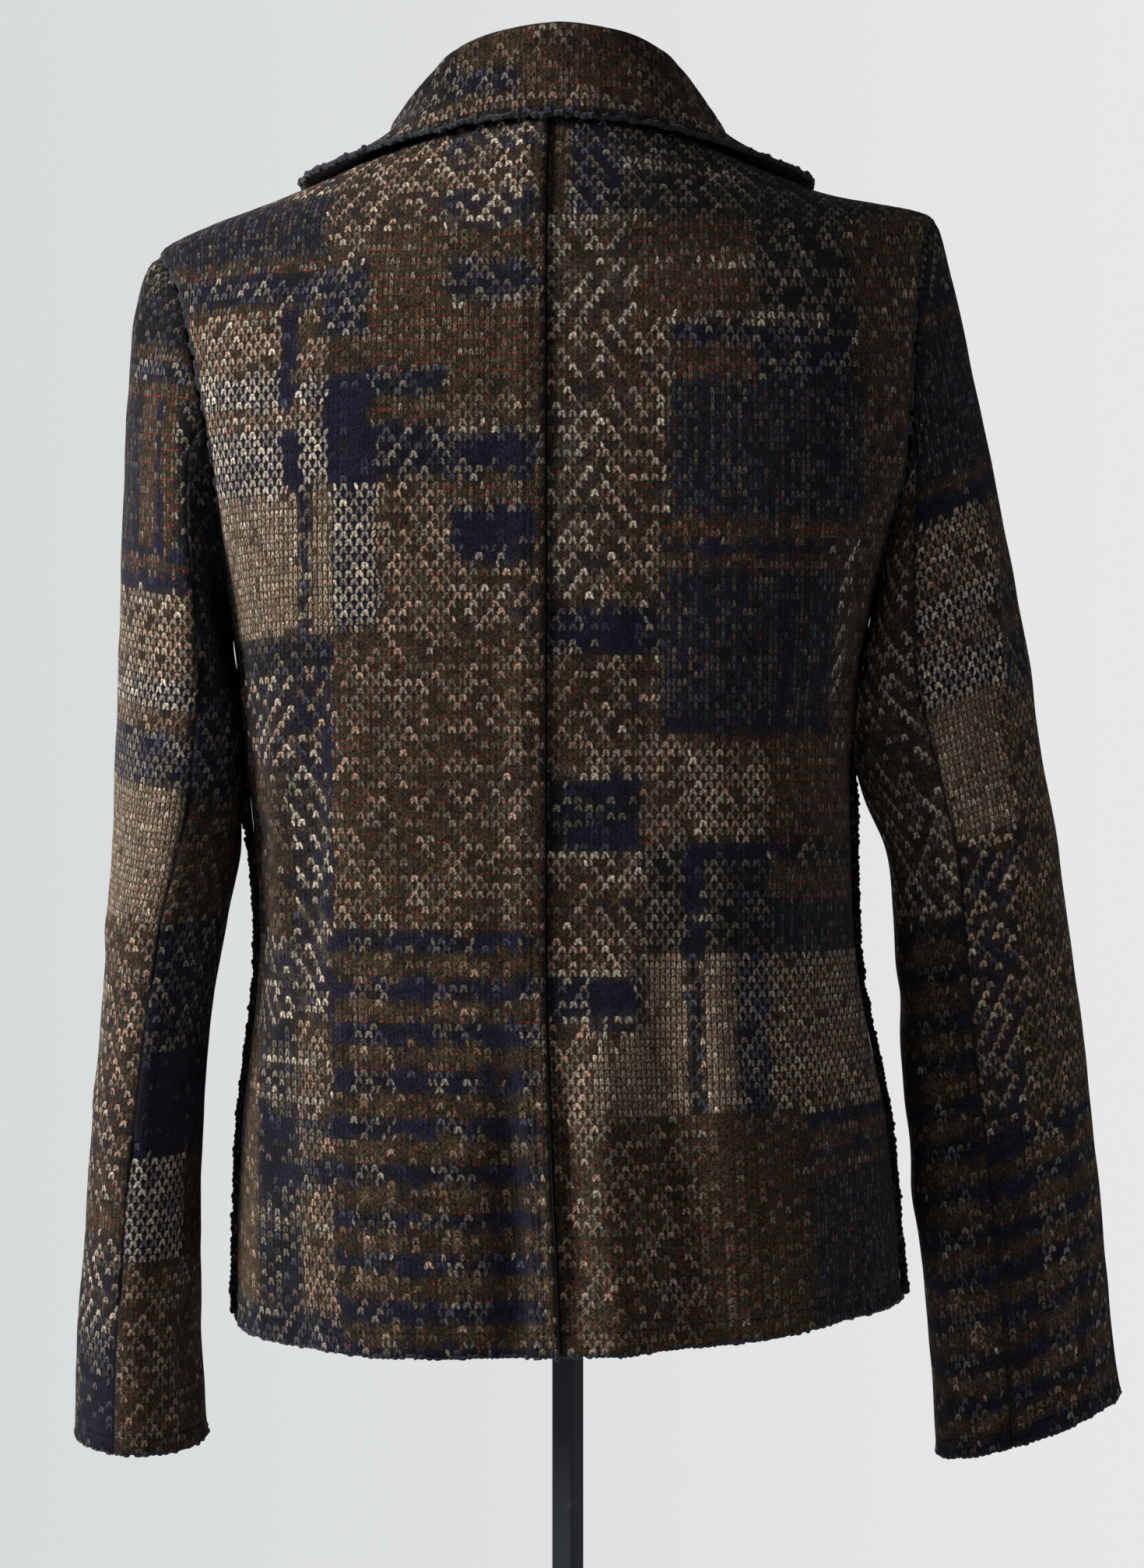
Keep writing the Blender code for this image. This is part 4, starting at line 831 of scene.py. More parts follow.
class Shade:
    """A number in a shader, which takes part in sums."""

    def __init__(self, bench: "Bench", socket: Socket) -> None:
        """Keeps the socket and the node tree that it is in."""
        self.bench, self.socket = bench, socket

    __add__ = __radd__ = maths("ADD")
    __sub__, __rsub__ = maths("SUBTRACT"), maths("SUBTRACT", turned=True)
    __mul__ = __rmul__ = maths("MULTIPLY")
    __abs__ = maths("ABSOLUTE")
    floor, fract, cosine = maths("FLOOR"), maths("FRACT"), maths("COSINE")
    root = maths("SQRT")
    below = maths("LESS_THAN")  # 1 where the number is less, and else 0

    def step(self, low: float, high: float) -> "Shade":
        """Returns a soft step from 0 at low to 1 at high, which may be below low."""
        ends = {"From Min": low, "From Max": high, "To Min": 0.0, "To Max": 1.0}
        settings = {"interpolation_type": "SMOOTHSTEP"}
        return self.bench.value("ShaderNodeMapRange", settings, {"Value": self, **ends}, "Result")


Value = Shade | float | Sequence[float] | Socket


class Bench:
    """The node tree of one material, or of the world."""

    def __init__(self, owner: Material | bpy.types.World) -> None:
        """Starts the owner's nodes."""
        owner.use_nodes = True
        self.owner, self.tree = owner, owner.node_tree

    @classmethod
    def of(cls, name: str) -> "Bench":
        """Returns the bench of a new material of that name, with a Principled shader."""
        return cls(bpy.data.materials.new(name))

    def place(self) -> Socket:
        """Returns the place on the object."""
        return self.node("ShaderNodeTexCoord").outputs["Object"]

    def node(self, kind: str, settings: dict | None = None, inputs: dict | None = None) -> bpy.types.Node:
        """Adds a node and returns it.

        Args:
            kind: Its type.
            settings: What it is set to.
            inputs: Values or links of its sockets, by name or number.
        """
        node = self.tree.nodes.new(kind)
        for name, setting in (settings or {}).items():
            setattr(node, name, setting)
        for name, value in (inputs or {}).items():
            self.feed(node.inputs[name], value)
        return node

    def feed(self, socket: Socket, value: Value) -> None:
        """Links a socket, or sets its value."""
        if isinstance(value, Shade):
            value = value.socket
        if isinstance(value, Socket):
            self.tree.links.new(value, socket)
        elif isinstance(value, (int, float)):
            socket.default_value = value
        else:
            socket.default_value = (*value, 1.0)[: len(socket.default_value)]

    def value(self, kind: str, settings: dict, inputs: dict, output: str | int = 0) -> Shade:
        """Adds a node and returns one of its results as a number."""
        return Shade(self, self.node(kind, settings, inputs).outputs[output])

    def join(self, x: Value, y: Value, z: Value = 0.0) -> Socket:
        """Returns three numbers as a vector."""
        return self.node("ShaderNodeCombineXYZ", {}, {0: x, 1: y, 2: z}).outputs[0]

    def split(self, vector: Value) -> tuple[Shade, Shade, Shade]:
        """Returns the three numbers of a vector."""
        outputs = self.node("ShaderNodeSeparateXYZ", {}, {0: vector}).outputs
        return Shade(self, outputs[0]), Shade(self, outputs[1]), Shade(self, outputs[2])

    def noise(self, place: Value, scale: float, detail: float = 2.0, roughness: float = 0.5) -> Shade:
        """Returns soft noise from 0 to 1."""
        inputs = {"Vector": place, "Scale": scale, "Detail": detail, "Roughness": roughness}
        return self.value("ShaderNodeTexNoise", {}, inputs)

    def dice(self, x: Value, y: Value, throw: float = 0.0) -> Shade:
        """Returns a random number from 0 to 1 for each pair of whole numbers."""
        inputs = {"Vector": self.join(x, y, throw)}
        return self.value("ShaderNodeTexWhiteNoise", {}, inputs)

    def mix(self, share: Value, first: Value, second: Value) -> Socket:
        """Returns a colour from first, at share 0, to second, at share 1."""
        inputs = {0: share, 6: first, 7: second}
        return self.node("ShaderNodeMix", {"data_type": "RGBA"}, inputs).outputs[2]

    def scaled(self, colour: Value, amount: Value) -> Socket:
        """Returns a colour made lighter or darker."""
        inputs = {0: colour, "Scale": amount}
        return self.node("ShaderNodeVectorMath", {"operation": "SCALE"}, inputs).outputs[0]

    def attribute(self, name: str) -> bpy.types.Node:
        """Returns the node of a value kept on the mesh."""
        return self.node("ShaderNodeAttribute", {"attribute_name": name})

    def bump(self, height: Value, strength: float, distance: float) -> Socket:
        """Returns a normal raised by a height."""
        inputs = {"Height": height, "Strength": strength, "Distance": distance}
        return self.node("ShaderNodeBump", {}, inputs).outputs[0]

    def finish(self, **inputs: Value) -> Material:
        """Sets the shader's sockets, with _ for a space in a name, and returns the material."""
        shader = self.tree.nodes["Principled BSDF"]
        for name, value in inputs.items():
            self.feed(shader.inputs[name.replace("_", " ")], value)
        return self.owner


# ---- finishes


@dataclass(frozen=True)
class Line:
    """A line drawn in the cloth: stitching where dashed, painted shadow along a lapped edge where unbroken.

    Attributes:
        axis: 0 for a line at one place across the piece, 1 for one at one place along it.
    """

    axis: int
    place: float
    half_width: float = 0.00035
    dashed: bool = True


@dataclass(frozen=True)
class KnitFinish:
    """The felted knit's face, whose colours are kept cell by cell on the mesh.

    Attributes:
        wander: How far the yarn strays from its cell, in cells across and along.
        thick: Half the thickness of a stroke, in cells.
        foot: How far from the arch's middle a stroke starts.
        slant: How far it leans in on its way up.
        dash: Length from one dash of stitching to the next, in metres.
    """

    roughness: float = 0.92
    sheen: float = 0.06
    sheen_roughness: float = 0.45
    rust: Tone = (196, 62, 50)
    # Stitching thread, also the colour of painted shade at seams and along a lapped edge
    thread_and_shade: Tone = (14, 13, 15)
    wander: Three = (0.56, 0.44, 0.0)
    thick: float = 0.29
    foot: float = 0.56
    slant: float = 0.42
    dash: float = 0.0034

    def build(self, name: str, lines: Sequence[Line] = ()) -> Material:
        """Makes the material for one piece, with its lines of stitching and of painted shadow."""
        bench = Bench.of(name)
        cloth = bench.node("ShaderNodeUVMap", {"uv_map": "Cloth"}).outputs[0]
        drift = bench.node("ShaderNodeTexNoise", {}, {"Vector": cloth, "Scale": 1.3, "Detail": 3.0})
        back = tuple(-reach / 2 for reach in self.wander)
        centred = bench.node("ShaderNodeVectorMath", {"operation": "ADD"}, {0: cloth, 1: back})
        inputs = {0: drift.outputs[1], 1: self.wander, 2: centred.outputs[0]}
        moved = bench.node("ShaderNodeVectorMath", {"operation": "MULTIPLY_ADD"}, inputs)
        u, v, _ = bench.split(moved.outputs[0])

        # Raised stitches, each an arch of two strokes over two cells, or a lone stroke in one
        flat_u, flat_v, _ = bench.split(cloth)
        cell, row = flat_u.floor(), flat_v.floor()
        mark = bench.attribute("mark")
        code = Shade(bench, mark.outputs["Alpha"])
        inner, up = u - cell, v - row
        right, lone = 1.0 - code.below(1.5), 1.0 - code.below(2.5)
        off = abs(inner + right - 1.0) * (1.0 - lone) + abs(2.0 * inner - 1.0) * lone
        first = cell - right * (1.0 - lone)
        chance = bench.dice(first, row)
        strength = bench.dice(first, row, 3.7)
        thick = (self.thick + 0.08 * strength) * up.step(-0.10, 0.25) * (1.0 - up).step(-0.02, 0.22)
        aside = abs(off - self.foot + self.slant * up)
        leaf = (aside - thick).step(0.13, -0.13)
        stroke = aside.step(0.30, 0.05)
        fibre = bench.noise(bench.join(u * 1.7, v * 0.9), 3.0, 4.0, 0.7).step(0.30, 0.70)
        grain = bench.noise(bench.join(u, v * 1.1), 2.3, 3.0, 0.65).step(0.37, 0.63)
        raised = leaf * (1.0 - code.below(0.5)) * (0.5 + 0.5 * strength.step(0.0, 0.45))

        # The plain knit between the marks, and its red flecks along the foot of a row
        tone = bench.dice((2.0 * u).floor(), (2.0 * v).floor(), 1.3)
        needle = 0.5 + 0.5 * (2.0 * math.pi * u).cosine()
        leg = 0.5 + 0.5 * (2.0 * math.pi * (2.0 * v + 2.0 * off)).cosine()
        ground = bench.attribute("ground")
        runs = bench.noise(bench.join(u * 0.22, row * 1.7), 1.0, 1.0).step(0.40, 0.60)
        red_share = Shade(bench, ground.outputs["Alpha"]) * (0.35 + 1.3 * runs)
        fleck = (abs(inner - 0.5) - 0.20).step(0.10, -0.08) * abs(up - 0.14).step(0.20, 0.08)
        red = fleck * bench.dice(cell, row, 8.1).below(red_share)
        body = bench.noise(cloth, 0.21, 3.0)
        patchy = bench.noise(cloth, 0.6, 4.0, 0.7).step(0.25, 0.75)

        # Painted shade in the gaps between wales and courses (needle, leg), times the yarn's random tone
        shade = (0.05 + 0.60 * tone + 1.25 * grain) * (1.0 - 0.20 * needle) * (0.80 + 0.40 * body)
        shade = shade * (0.40 + 0.80 * leg)
        colour = bench.scaled(ground.outputs["Color"], shade * (0.60 + 0.6 * patchy))
        # Painted highlight on the marks: lighter on their strokes and near their tops, with random tone
        glint = (0.45 + 0.45 * stroke + 0.34 * up) * (0.30 + 1.10 * grain) * (0.60 + 0.80 * chance)
        colour = bench.mix(raised, colour, bench.scaled(mark.outputs["Color"], glint))
        colour = bench.mix(0.80 * red, colour, bench.scaled(light_of(self.rust), 0.30 + 0.8 * grain))
        height = 0.8 * raised + 0.25 * leg - 0.25 * needle + 0.5 * fibre + 0.5 * grain
        height = height + 0.9 * bench.noise(cloth, 0.8, 2.0)

        spots = ((flat_u, CELL_WIDTH), (flat_v, CELL_HEIGHT))
        # Dashed: stitching in dark thread, sunk in; unbroken: painted shadow along a lapped edge
        for line in lines:
            (place, size), (along, step) = spots[line.axis], spots[1 - line.axis]
            edge = line.half_width / size
            near = abs(place - line.place / size).step(edge * 1.6, edge * 0.5)
            if line.dashed:
                height = height - 2.0 * abs(place - line.place / size).step(edge * 5.0, 0.0)
                near = near * (along * (step / self.dash)).fract().below(0.66)
            colour = bench.mix(0.85 * near, colour, light_of(self.thread_and_shade))
        # Painted shade at sewn seams, partly their dark reverse yarn: colour runs to the dark thread's
        seam_shade = Shade(bench, bench.attribute("deep").outputs["Fac"])
        colour = bench.mix(0.9 * seam_shade, colour, light_of(self.thread_and_shade))
        return bench.finish(
            Base_Color=colour,
            Roughness=self.roughness,
            Sheen_Weight=self.sheen,
            Sheen_Roughness=self.sheen_roughness,
            Specular_IOR_Level=0.08,
            Normal=bench.bump(height, 1.0, 0.0010),
        )


@dataclass(frozen=True)
class Finish:
    """A finish that follows the place on the object."""

    def look(self, bench: Bench, place: Value) -> dict[str, Value]:
        """Returns the shader's inputs, with _ for a space in a name.

        Args:
            bench: Where its nodes are made.
            place: The place on the object.
        """
        raise NotImplementedError

    def build(self, name: str) -> Material:
        """Makes the material."""
        bench = Bench.of(name)
        return bench.finish(**self.look(bench, bench.place()))


@dataclass(frozen=True)
class ReverseFinish(Finish):
    """The dark back of the knit, which shows at raw edges and inside."""

    colour: Tone = (24, 24, 34)
    light: Tone = (58, 58, 70)
    roughness: float = 0.95

    def look(self, bench: Bench, place: Value) -> dict[str, Value]:
        """Returns loops with paler fibres."""
        fibres = bench.noise(place, 900.0, 3.0, 0.6)
        loops = bench.noise(place, 330.0, 2.0)
        colour = bench.mix(fibres.step(0.5, 0.8), light_of(self.colour), light_of(self.light))
        normal = bench.bump(loops + 0.5 * fibres, 0.9, 0.0009)
        return {"Base_Color": colour, "Roughness": self.roughness, "Sheen_Weight": 0.2, "Normal": normal}


@dataclass(frozen=True)
class JerseyFinish(Finish):
    """Fine black jersey stretched over the form."""

    colour: Tone = (26, 26, 29)
    roughness: float = 0.8

    def look(self, bench: Bench, place: Value) -> dict[str, Value]:
        """Returns fine ribs, a little cloudy."""
        x, y, z = bench.split(place)
        rib = 0.5 + 0.5 * ((x + y) * 9000.0).cosine()
        cloud = bench.noise(place, 40.0, 3.0)
        colour = bench.scaled(light_of(self.colour), (0.8 + 0.4 * cloud) * (0.85 + 0.3 * rib))
        normal = bench.bump(rib * (0.5 + 0.5 * (z * 7000.0).cosine()), 0.5, 0.0003)
        return {"Base_Color": colour, "Roughness": self.roughness, "Sheen_Weight": 0.3, "Normal": normal}


@dataclass(frozen=True)
class PaintFinish(Finish):
    """Black paint on metal, with a fine orange peel and faint scuffs."""

    colour: Tone = (34, 38, 46)
    scuffed: Three = (0.12, 0.12, 0.13)
    roughness: float = 0.3
    coat: float = 0.3

    def look(self, bench: Bench, place: Value) -> dict[str, Value]:
        """Returns the peel and the scuffs."""
        peel = bench.noise(place, 420.0, 2.0)
        scuff = bench.noise(place, 60.0, 6.0, 0.7).step(0.60, 0.72)
        return {
            "Base_Color": bench.mix(0.35 * scuff, light_of(self.colour), self.scuffed),
            "Roughness": self.roughness + 0.12 * peel + 0.2 * scuff,
            "Coat_Weight": self.coat,
            "Coat_Roughness": 0.2,
            "Normal": bench.bump(peel, 0.15, 0.0003),
        }


@dataclass(frozen=True)
class HornFinish(Finish):
    """Dark polished horn with paler streaks."""

    dark: Tone = (30, 24, 20)
    pale: Tone = (92, 68, 46)
    roughness: float = 0.28

    def look(self, bench: Bench, place: Value) -> dict[str, Value]:
        """Returns the streaks."""
        x, y, z = bench.split(place)
        streak = bench.noise(bench.join(x * 4.0, y, z), 180.0, 4.0, 0.6)
        return {
            "Base_Color": bench.mix(streak.step(0.5, 0.75), light_of(self.dark), light_of(self.pale)),
            "Roughness": self.roughness + 0.2 * streak,
            "Coat_Weight": 0.2,
            "Normal": bench.bump(streak, 0.1, 0.0002),
        }


# ---- cutting cloth


# Each piece's creases: the places across and along the cloth at both ends, the depth in the middle
# (in, below zero) and half the width, all in millimetres
CREASES: dict[str, tuple[tuple[float, ...], ...]] = {
    "back_left": (
        (21, -10, 19, 140, -5, 10), (48, 0, 44, 120, 2.2, 14), (90, 20, 80, 150, -2.2, 14),
        (128, 170, 116, 330, -4.2, 10), (150, 180, 142, 330, 3.4, 10), (100, 270, 190, 330, 1.8, 10),
        (90, 230, 190, 270, -1.8, 10), (150, 440, 120, 560, -1.6, 14), (20, 520, 120, 560, 1.4, 16),
    ),
    "back_right": (
        (8, 20, 8, 150, -3.4, 7), (28, -10, 25, 150, 5.2, 10), (60, 0, 62, 190, -4.4, 11),
        (86, 10, 84, 200, 2.6, 10), (122, 0, 118, 120, -2.6, 12), (110, 240, 190, 280, 2, 10),
        (100, 300, 190, 350, -2, 10), (50, 300, 60, 420, -1.2, 14), (30, 500, 130, 560, 1.4, 16),
    ),
    "under_sleeve_left": ((70, 370, 70, 440, 6, 26), (20, 180, 60, 230, -1.6, 10)),
    "under_sleeve_right": (
        (78, 340, 78, 440, 6, 28), (20, 200, 70, 250, -1.8, 10), (30, 120, 80, 150, 1.4, 12),
    ),
    "top_sleeve_left": (
        (52, 300, 0, 340, -1.4, 10), (56, 250, 0, 275, 1.4, 10), (60, 165, 10, 190, 1.2, 12),
        (30, 0, 32, 100, 1.2, 12),
    ),
    "top_sleeve_right": (
        (32, 165, 46, 280, 2.6, 5), (46, 280, 28, 420, 2.6, 5), (28, 420, 22, 500, 2, 6.5),
        (62, 250, 58, 360, -1.4, 10), (60, 60, 10, 110, 1.2, 14),
    ),
}


@dataclass(frozen=True)
class Crease:
    """A soft ridge, or below zero a trough, along a line in cloth space.

    Attributes:
        start: Place across and along the cloth at one end.
    """

    start: Two
    end: Two
    depth: float
    half_width: float

    @classmethod
    def of(cls, row: Sequence[float]) -> "Crease":
        """Returns the crease of a row of the table."""
        x, y, end_x, end_y, depth, half_width = (size / 1000 for size in row)
        return cls((x, y), (end_x, end_y), depth, half_width)

    def lift(self, across: Array, along: Array) -> Array:
        """Returns how far it moves cloth at places across and along."""
        x, y = across - self.start[0], along - self.start[1]
        dx, dy = self.end[0] - self.start[0], self.end[1] - self.start[1]
        length = math.hypot(dx, dy)
        run = (x * dx + y * dy) / length
        off = (x * dy - y * dx) / length / self.half_width
        t = np.clip(run / length, -0.3, 1.3)
        fade = ramp((t + 0.3) / 0.6) * ramp((1.3 - t) / 0.6)
        return self.depth * fade * np.exp(-off * off)


@dataclass(frozen=True)
class Ripple:
    """The slight unevenness of felted cloth, as a few long waves."""

    seed: int
    height: float = 0.00035
    waves: int = 9

    def lift(self, across: Array, along: Array) -> Array:
        """Returns how far it moves cloth at places across and along."""
        dice = np.random.default_rng(self.seed)
        total = np.zeros_like(across)
        for _ in range(self.waves):
            length = dice.uniform(0.018, 0.075)
            turn, start = dice.uniform(0, math.tau, 2)
            run = across * math.cos(turn) + along * math.sin(turn)
            total += length / 0.05 * np.sin(math.tau * run / length + start)
        return total * self.height / math.sqrt(self.waves)


def add_thing(name: str, data: bpy.types.ID) -> Thing:
    """Adds an object that holds a mesh, a lamp or a camera."""
    thing = bpy.data.objects.new(name, data)
    bpy.context.scene.collection.objects.link(thing)
    return thing


def mesh_of(name: str, build: Build) -> Mesh:
    """Returns a new mesh with what was built."""
    mesh = bpy.data.meshes.new(name)
    build.to_mesh(mesh)
    build.free()
    return mesh


def read(parts: bpy.types.bpy_prop_collection, name: str, kind: type) -> Array:
    """Returns one value of each part of a mesh."""
    values = np.empty(len(parts), kind)
    parts.foreach_get(name, values)
    return values


def grid_of(columns: int, rows: int) -> tuple[Build, Array, Array]:
    """Returns a grid of so many cells, and the column and row of each knot."""
    build = bmesh.new()
    bmesh.ops.create_grid(build, x_segments=columns, y_segments=rows, size=0.5)
    knots = np.array([knot.co[:2] for knot in build.verts]) + 0.5
    return build, *np.rint(knots * (columns, rows)).astype(int).T


def grid_mesh(name: str, points: Array, merge: float = 0.00002) -> Mesh:
    """Returns a grid over points, with its seam and poles closed and its faces turned outwards.

    Args:
        name: The mesh's name.
        points: Points as columns x rows.
        merge: How near two knots are merged.
    """
    build, column, row = grid_of(points.shape[0] - 1, points.shape[1] - 1)
    for knot, spot in zip(build.verts, points[column, row]):
        knot.co = spot
    bmesh.ops.remove_doubles(build, verts=build.verts, dist=merge)
    bmesh.ops.recalc_face_normals(build, faces=build.faces)
    mesh = mesh_of(name, build)
    mesh.shade_smooth()
    return mesh


@dataclass
class RawEdge:
    """The roll of felted loops along a raw edge of the cloth.

    Attributes:
        bobble: How far the loops stand out, as a share of the radius.
        step: Distance between its rings.
    """

    radius: float = 0.0013
    bobble: float = 0.75
    step: float = 0.0008
    sides: int = 7

    def build(self, name: str, path: Array, out: Array, slot: str, finish: Material, seed: int) -> Thing:
        """Makes the roll and returns it.

        Args:
            name: The piece's name.
            path: Points along the edge, at the middle of the cloth's thickness.
            out: Outward directions of the cloth at those points.
            slot: The record's material slot.
            finish: Its material.
            seed: Number that fixes its loops.
        """
        dice = np.random.default_rng(seed)
        run = run_of(path)
        along = np.linspace(0.0, run[-1], max(8, int(run[-1] / self.step)))
        centre, up = points_at(path, run, along), unit(points_at(out, run, along))
        side = unit(np.cross(np.gradient(centre, axis=0), up))
        knots = np.cumsum(np.concatenate([[0.0], dice.uniform(0.0020, 0.0042, int(run[-1] / 0.002) + 2)]))
        loop = np.searchsorted(knots, along, side="right") - 1
        share = (along - knots[loop]) / (knots[loop + 1] - knots[loop])
        tall = dice.uniform(0.25, 1.0, len(knots))[loop]
        radius = self.radius * (0.75 + self.bobble * tall * np.sin(np.pi * share))
        radius[0] = radius[-1] = 0.000001
        drift = dice.normal(0.0, 0.25, (2, len(knots))) * self.radius
        centre = centre + up * drift[0, loop][:, None] + side * drift[1, loop][:, None]
        turn = np.arange(self.sides + 1) * math.tau / self.sides
        ring = up[:, None] * np.cos(turn)[:, None] + side[:, None] * np.sin(turn)[:, None]
        roll = add_piece(name, grid_mesh(name, centre[:, None] + ring * radius[:, None, None]), slot)
        roll.data.materials.append(finish)
        return roll


@dataclass
class Piece:
    """One cut piece of cloth, from its grid of cells to the finished object.

    Attributes:
        name: The name of the CAD node that it stands for.
        lay: Says where the knots of the grid lie, from their places across and along.
        width: Least and greatest place across the grid.
        length: Length of the grid along the cloth.
        seed: Number that fixes its random picks.
        flat: Width and length of its cut before sewing; not used.
        area: Area of that cut; not used.
        shift: How far its chart is moved across and along, in centimetres.
        edge: The roll along its raw edge, where along is 0, if it has one.
        welt: Path and outward directions of the welt along a seam or side of it, if it has one.
        seam_dip: How far the cloth is drawn in at a seam.
        raw_rise: How far it stands out at a raw edge.
        rim_width: Width of both of those.
        seam_shade_width: Width of a seam's dark line: partly dark reverse yarn, partly painted shade.
    """

    name: str
    lay: Callable[[Array, Array], Laid]
    width: Two
    length: float
    seed: int
    flat: Two
    area: float
    held: str
    rests_on: tuple[str, ...]
    lines: Sequence[Line] = ()
    shift: Two = (0.0, 0.0)
    cell: Two = (CELL_WIDTH, CELL_HEIGHT)
    edge: RawEdge | None = field(default_factory=RawEdge)
    welt: Pair | None = None
    welt_edge: RawEdge = field(default_factory=lambda: RawEdge(radius=0.0026, bobble=0.15))
    seam_dip: float = 0.0007
    raw_rise: float = 0.0006
    rim_width: float = 0.0035
    seam_shade_width: float = 0.0016

    def creased(self, laid: Laid) -> Array:
        """Returns where the knots lie once the cloth is creased."""
        moves = (*map(Crease.of, CREASES.get(self.name, ())), Ripple(self.seed))
        lift = sum(move.lift(laid.across, laid.along) for move in moves)
        lift = lift - self.seam_dip * np.exp(-((laid.seam / self.rim_width) ** 2))
        lift = lift + self.raw_rise * np.exp(-((laid.raw / self.rim_width) ** 2))
        return laid.place + laid.out * lift[..., None]

    def roll(self, reverse: Material) -> list[Thing]:
        """Makes the roll of loops along the piece's raw edge, and the welt along its seam."""
        rolls = []
        slot, seed = f"{self.name}_cloth", self.seed
        if self.welt is not None:
            rolls.append(self.welt_edge.build(f"{self.name}_welt", *self.welt, slot, reverse, seed))
        if self.edge is not None:
            laid = self.lay(np.linspace(*self.width, 400), np.zeros(1))
            kept = ~laid.cut_off[:, 0]
            path, out = self.creased(laid)[kept, 0] - laid.out[kept, 0] * CLOTH / 2, laid.out[kept, 0]
            rolls.append(self.edge.build(f"{self.name}_edge", path, out, slot, reverse, seed))
        return rolls

    def build(
        self, reverse: Material, trims: Sequence[Thing] = ()
    ) -> Thing:
        """Cuts, lays, creases and dresses the piece, and returns it.

        Args:
            reverse: Material of its reverse and raw edges.
            trims: Pieces made before that go with it.
        """
        step_across, step_along = self.cell
        first = math.floor(self.width[0] / step_across)
        columns = math.ceil(self.width[1] / step_across) - first
        rows = math.ceil(self.length / step_along)
        build, column, row = grid_of(columns, rows)
        across = (first + np.arange(columns + 1)) * step_across
        along = np.minimum(np.arange(rows + 1) * step_along, self.length)
        laid = self.lay(across, along)
        for knot, spot, off in zip(build.verts, self.creased(laid)[column, row], laid.cut_off[column, row]):
            knot.co, knot.tag = spot, bool(off)
        waste = [face for face in build.faces if all(knot.tag for knot in face.verts)]
        # Painted shade at sewn seams, partly their dark reverse yarn: 1 on a seam, fading within its width
        deep = np.exp(-((laid.seam / self.seam_shade_width) ** 2))
        for name, grid in (("across", laid.across), ("along", laid.along), ("deep", deep)):
            layer = build.verts.layers.float.new(name)
            for knot, number in zip(build.verts, grid[column, row]):
                knot[layer] = number
        bmesh.ops.delete(build, geom=waste, context="FACES")
        loose = [knot for knot in build.verts if not knot.link_faces]
        bmesh.ops.delete(build, geom=loose, context="VERTS")
        bmesh.ops.remove_doubles(build, verts=build.verts, dist=0.00004)
        self.face_out(build, laid)
        mesh = mesh_of(self.name, build)
        self.dye(mesh)
        mesh.shade_smooth()
        return self.dress(mesh, reverse, [*trims, *self.roll(reverse)])

    def face_out(self, build: Build, laid: Laid) -> None:
        """Turns the faces so that their outer side is that of the cloth."""
        build.faces.ensure_lookup_table()
        build.normal_update()
        middle = build.faces[len(build.faces) // 2]
        spot = np.array(middle.calc_center_median())
        away = np.linalg.norm(laid.place - spot, axis=-1)
        out = laid.out[np.unravel_index(int(away.argmin()), away.shape)]
        if Vector(out).dot(middle.normal) < 0:
            bmesh.ops.reverse_faces(build, faces=build.faces)

    def dye(self, mesh: Mesh) -> None:
        """Keeps the cloth's own coordinates and its yarns' colours on the mesh."""
        corners = read(mesh.loops, "vertex_index", int)
        totals = read(mesh.polygons, "loop_total", int)
        starts = np.cumsum(totals) - totals
        spots = []
        for name in ("across", "along"):
            values = read(mesh.attributes[name].data, "value", np.float32)
            spots.append(values[corners].astype(float))
            mesh.attributes.remove(mesh.attributes[name])
        flat = np.column_stack(spots) / (CELL_WIDTH, CELL_HEIGHT)
        mesh.uv_layers.new(name="Cloth").data.foreach_set("uv", flat.ravel())
        centres = [np.add.reduceat(spot, starts) / totals for spot in spots]
        chart = Chart(CHARTS[self.name], self.seed, self.shift)
        for name, colours in zip(("ground", "mark"), chart.paint(*centres)):
            spread_out = np.repeat(colours, totals, axis=0)
            if name == "ground":
                shared = np.bincount(corners)
                for channel in range(3):
                    met = np.bincount(corners, spread_out[:, channel]) / np.maximum(shared, 1)
                    spread_out[:, channel] += FELTED * (met[corners] - spread_out[:, channel])
            layer = mesh.color_attributes.new(name, "FLOAT_COLOR", "CORNER")
            layer.data.foreach_set("color", spread_out.ravel())

    def dress(self, mesh: Mesh, reverse: Material, trims: Sequence[Thing]) -> Thing:
        piece = add_piece(f"{self.name}_knit", mesh, f"{self.name}_cloth", self.name)
        mesh.materials.append(KnitFinish().build(f"{self.name}_face", self.lines))
        mesh.materials.append(reverse)
        wall = piece.modifiers.new("wall", "SOLIDIFY")
        wall.thickness, wall.offset = CLOTH, -1.0
        wall.material_offset = wall.material_offset_rim = 1
        LOG.info("%s: %d cells", piece.name, len(mesh.polygons))
        return piece


def add_piece(name: str, mesh: Mesh, slot: str | None = None, *replaced: str) -> Thing:
    """Adds a mesh as a piece of the object, and returns it.

    Args:
        name: The piece's name.
        mesh: Its mesh.
        slot: The record's material slot that it takes its finish from; not used.
        replaced: The CAD nodes that it stands for.
    """
    piece = add_thing(name, mesh)
    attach(piece, ROOT)
    if replaced:
        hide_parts(*replaced)
    return piece


# ---- the coat


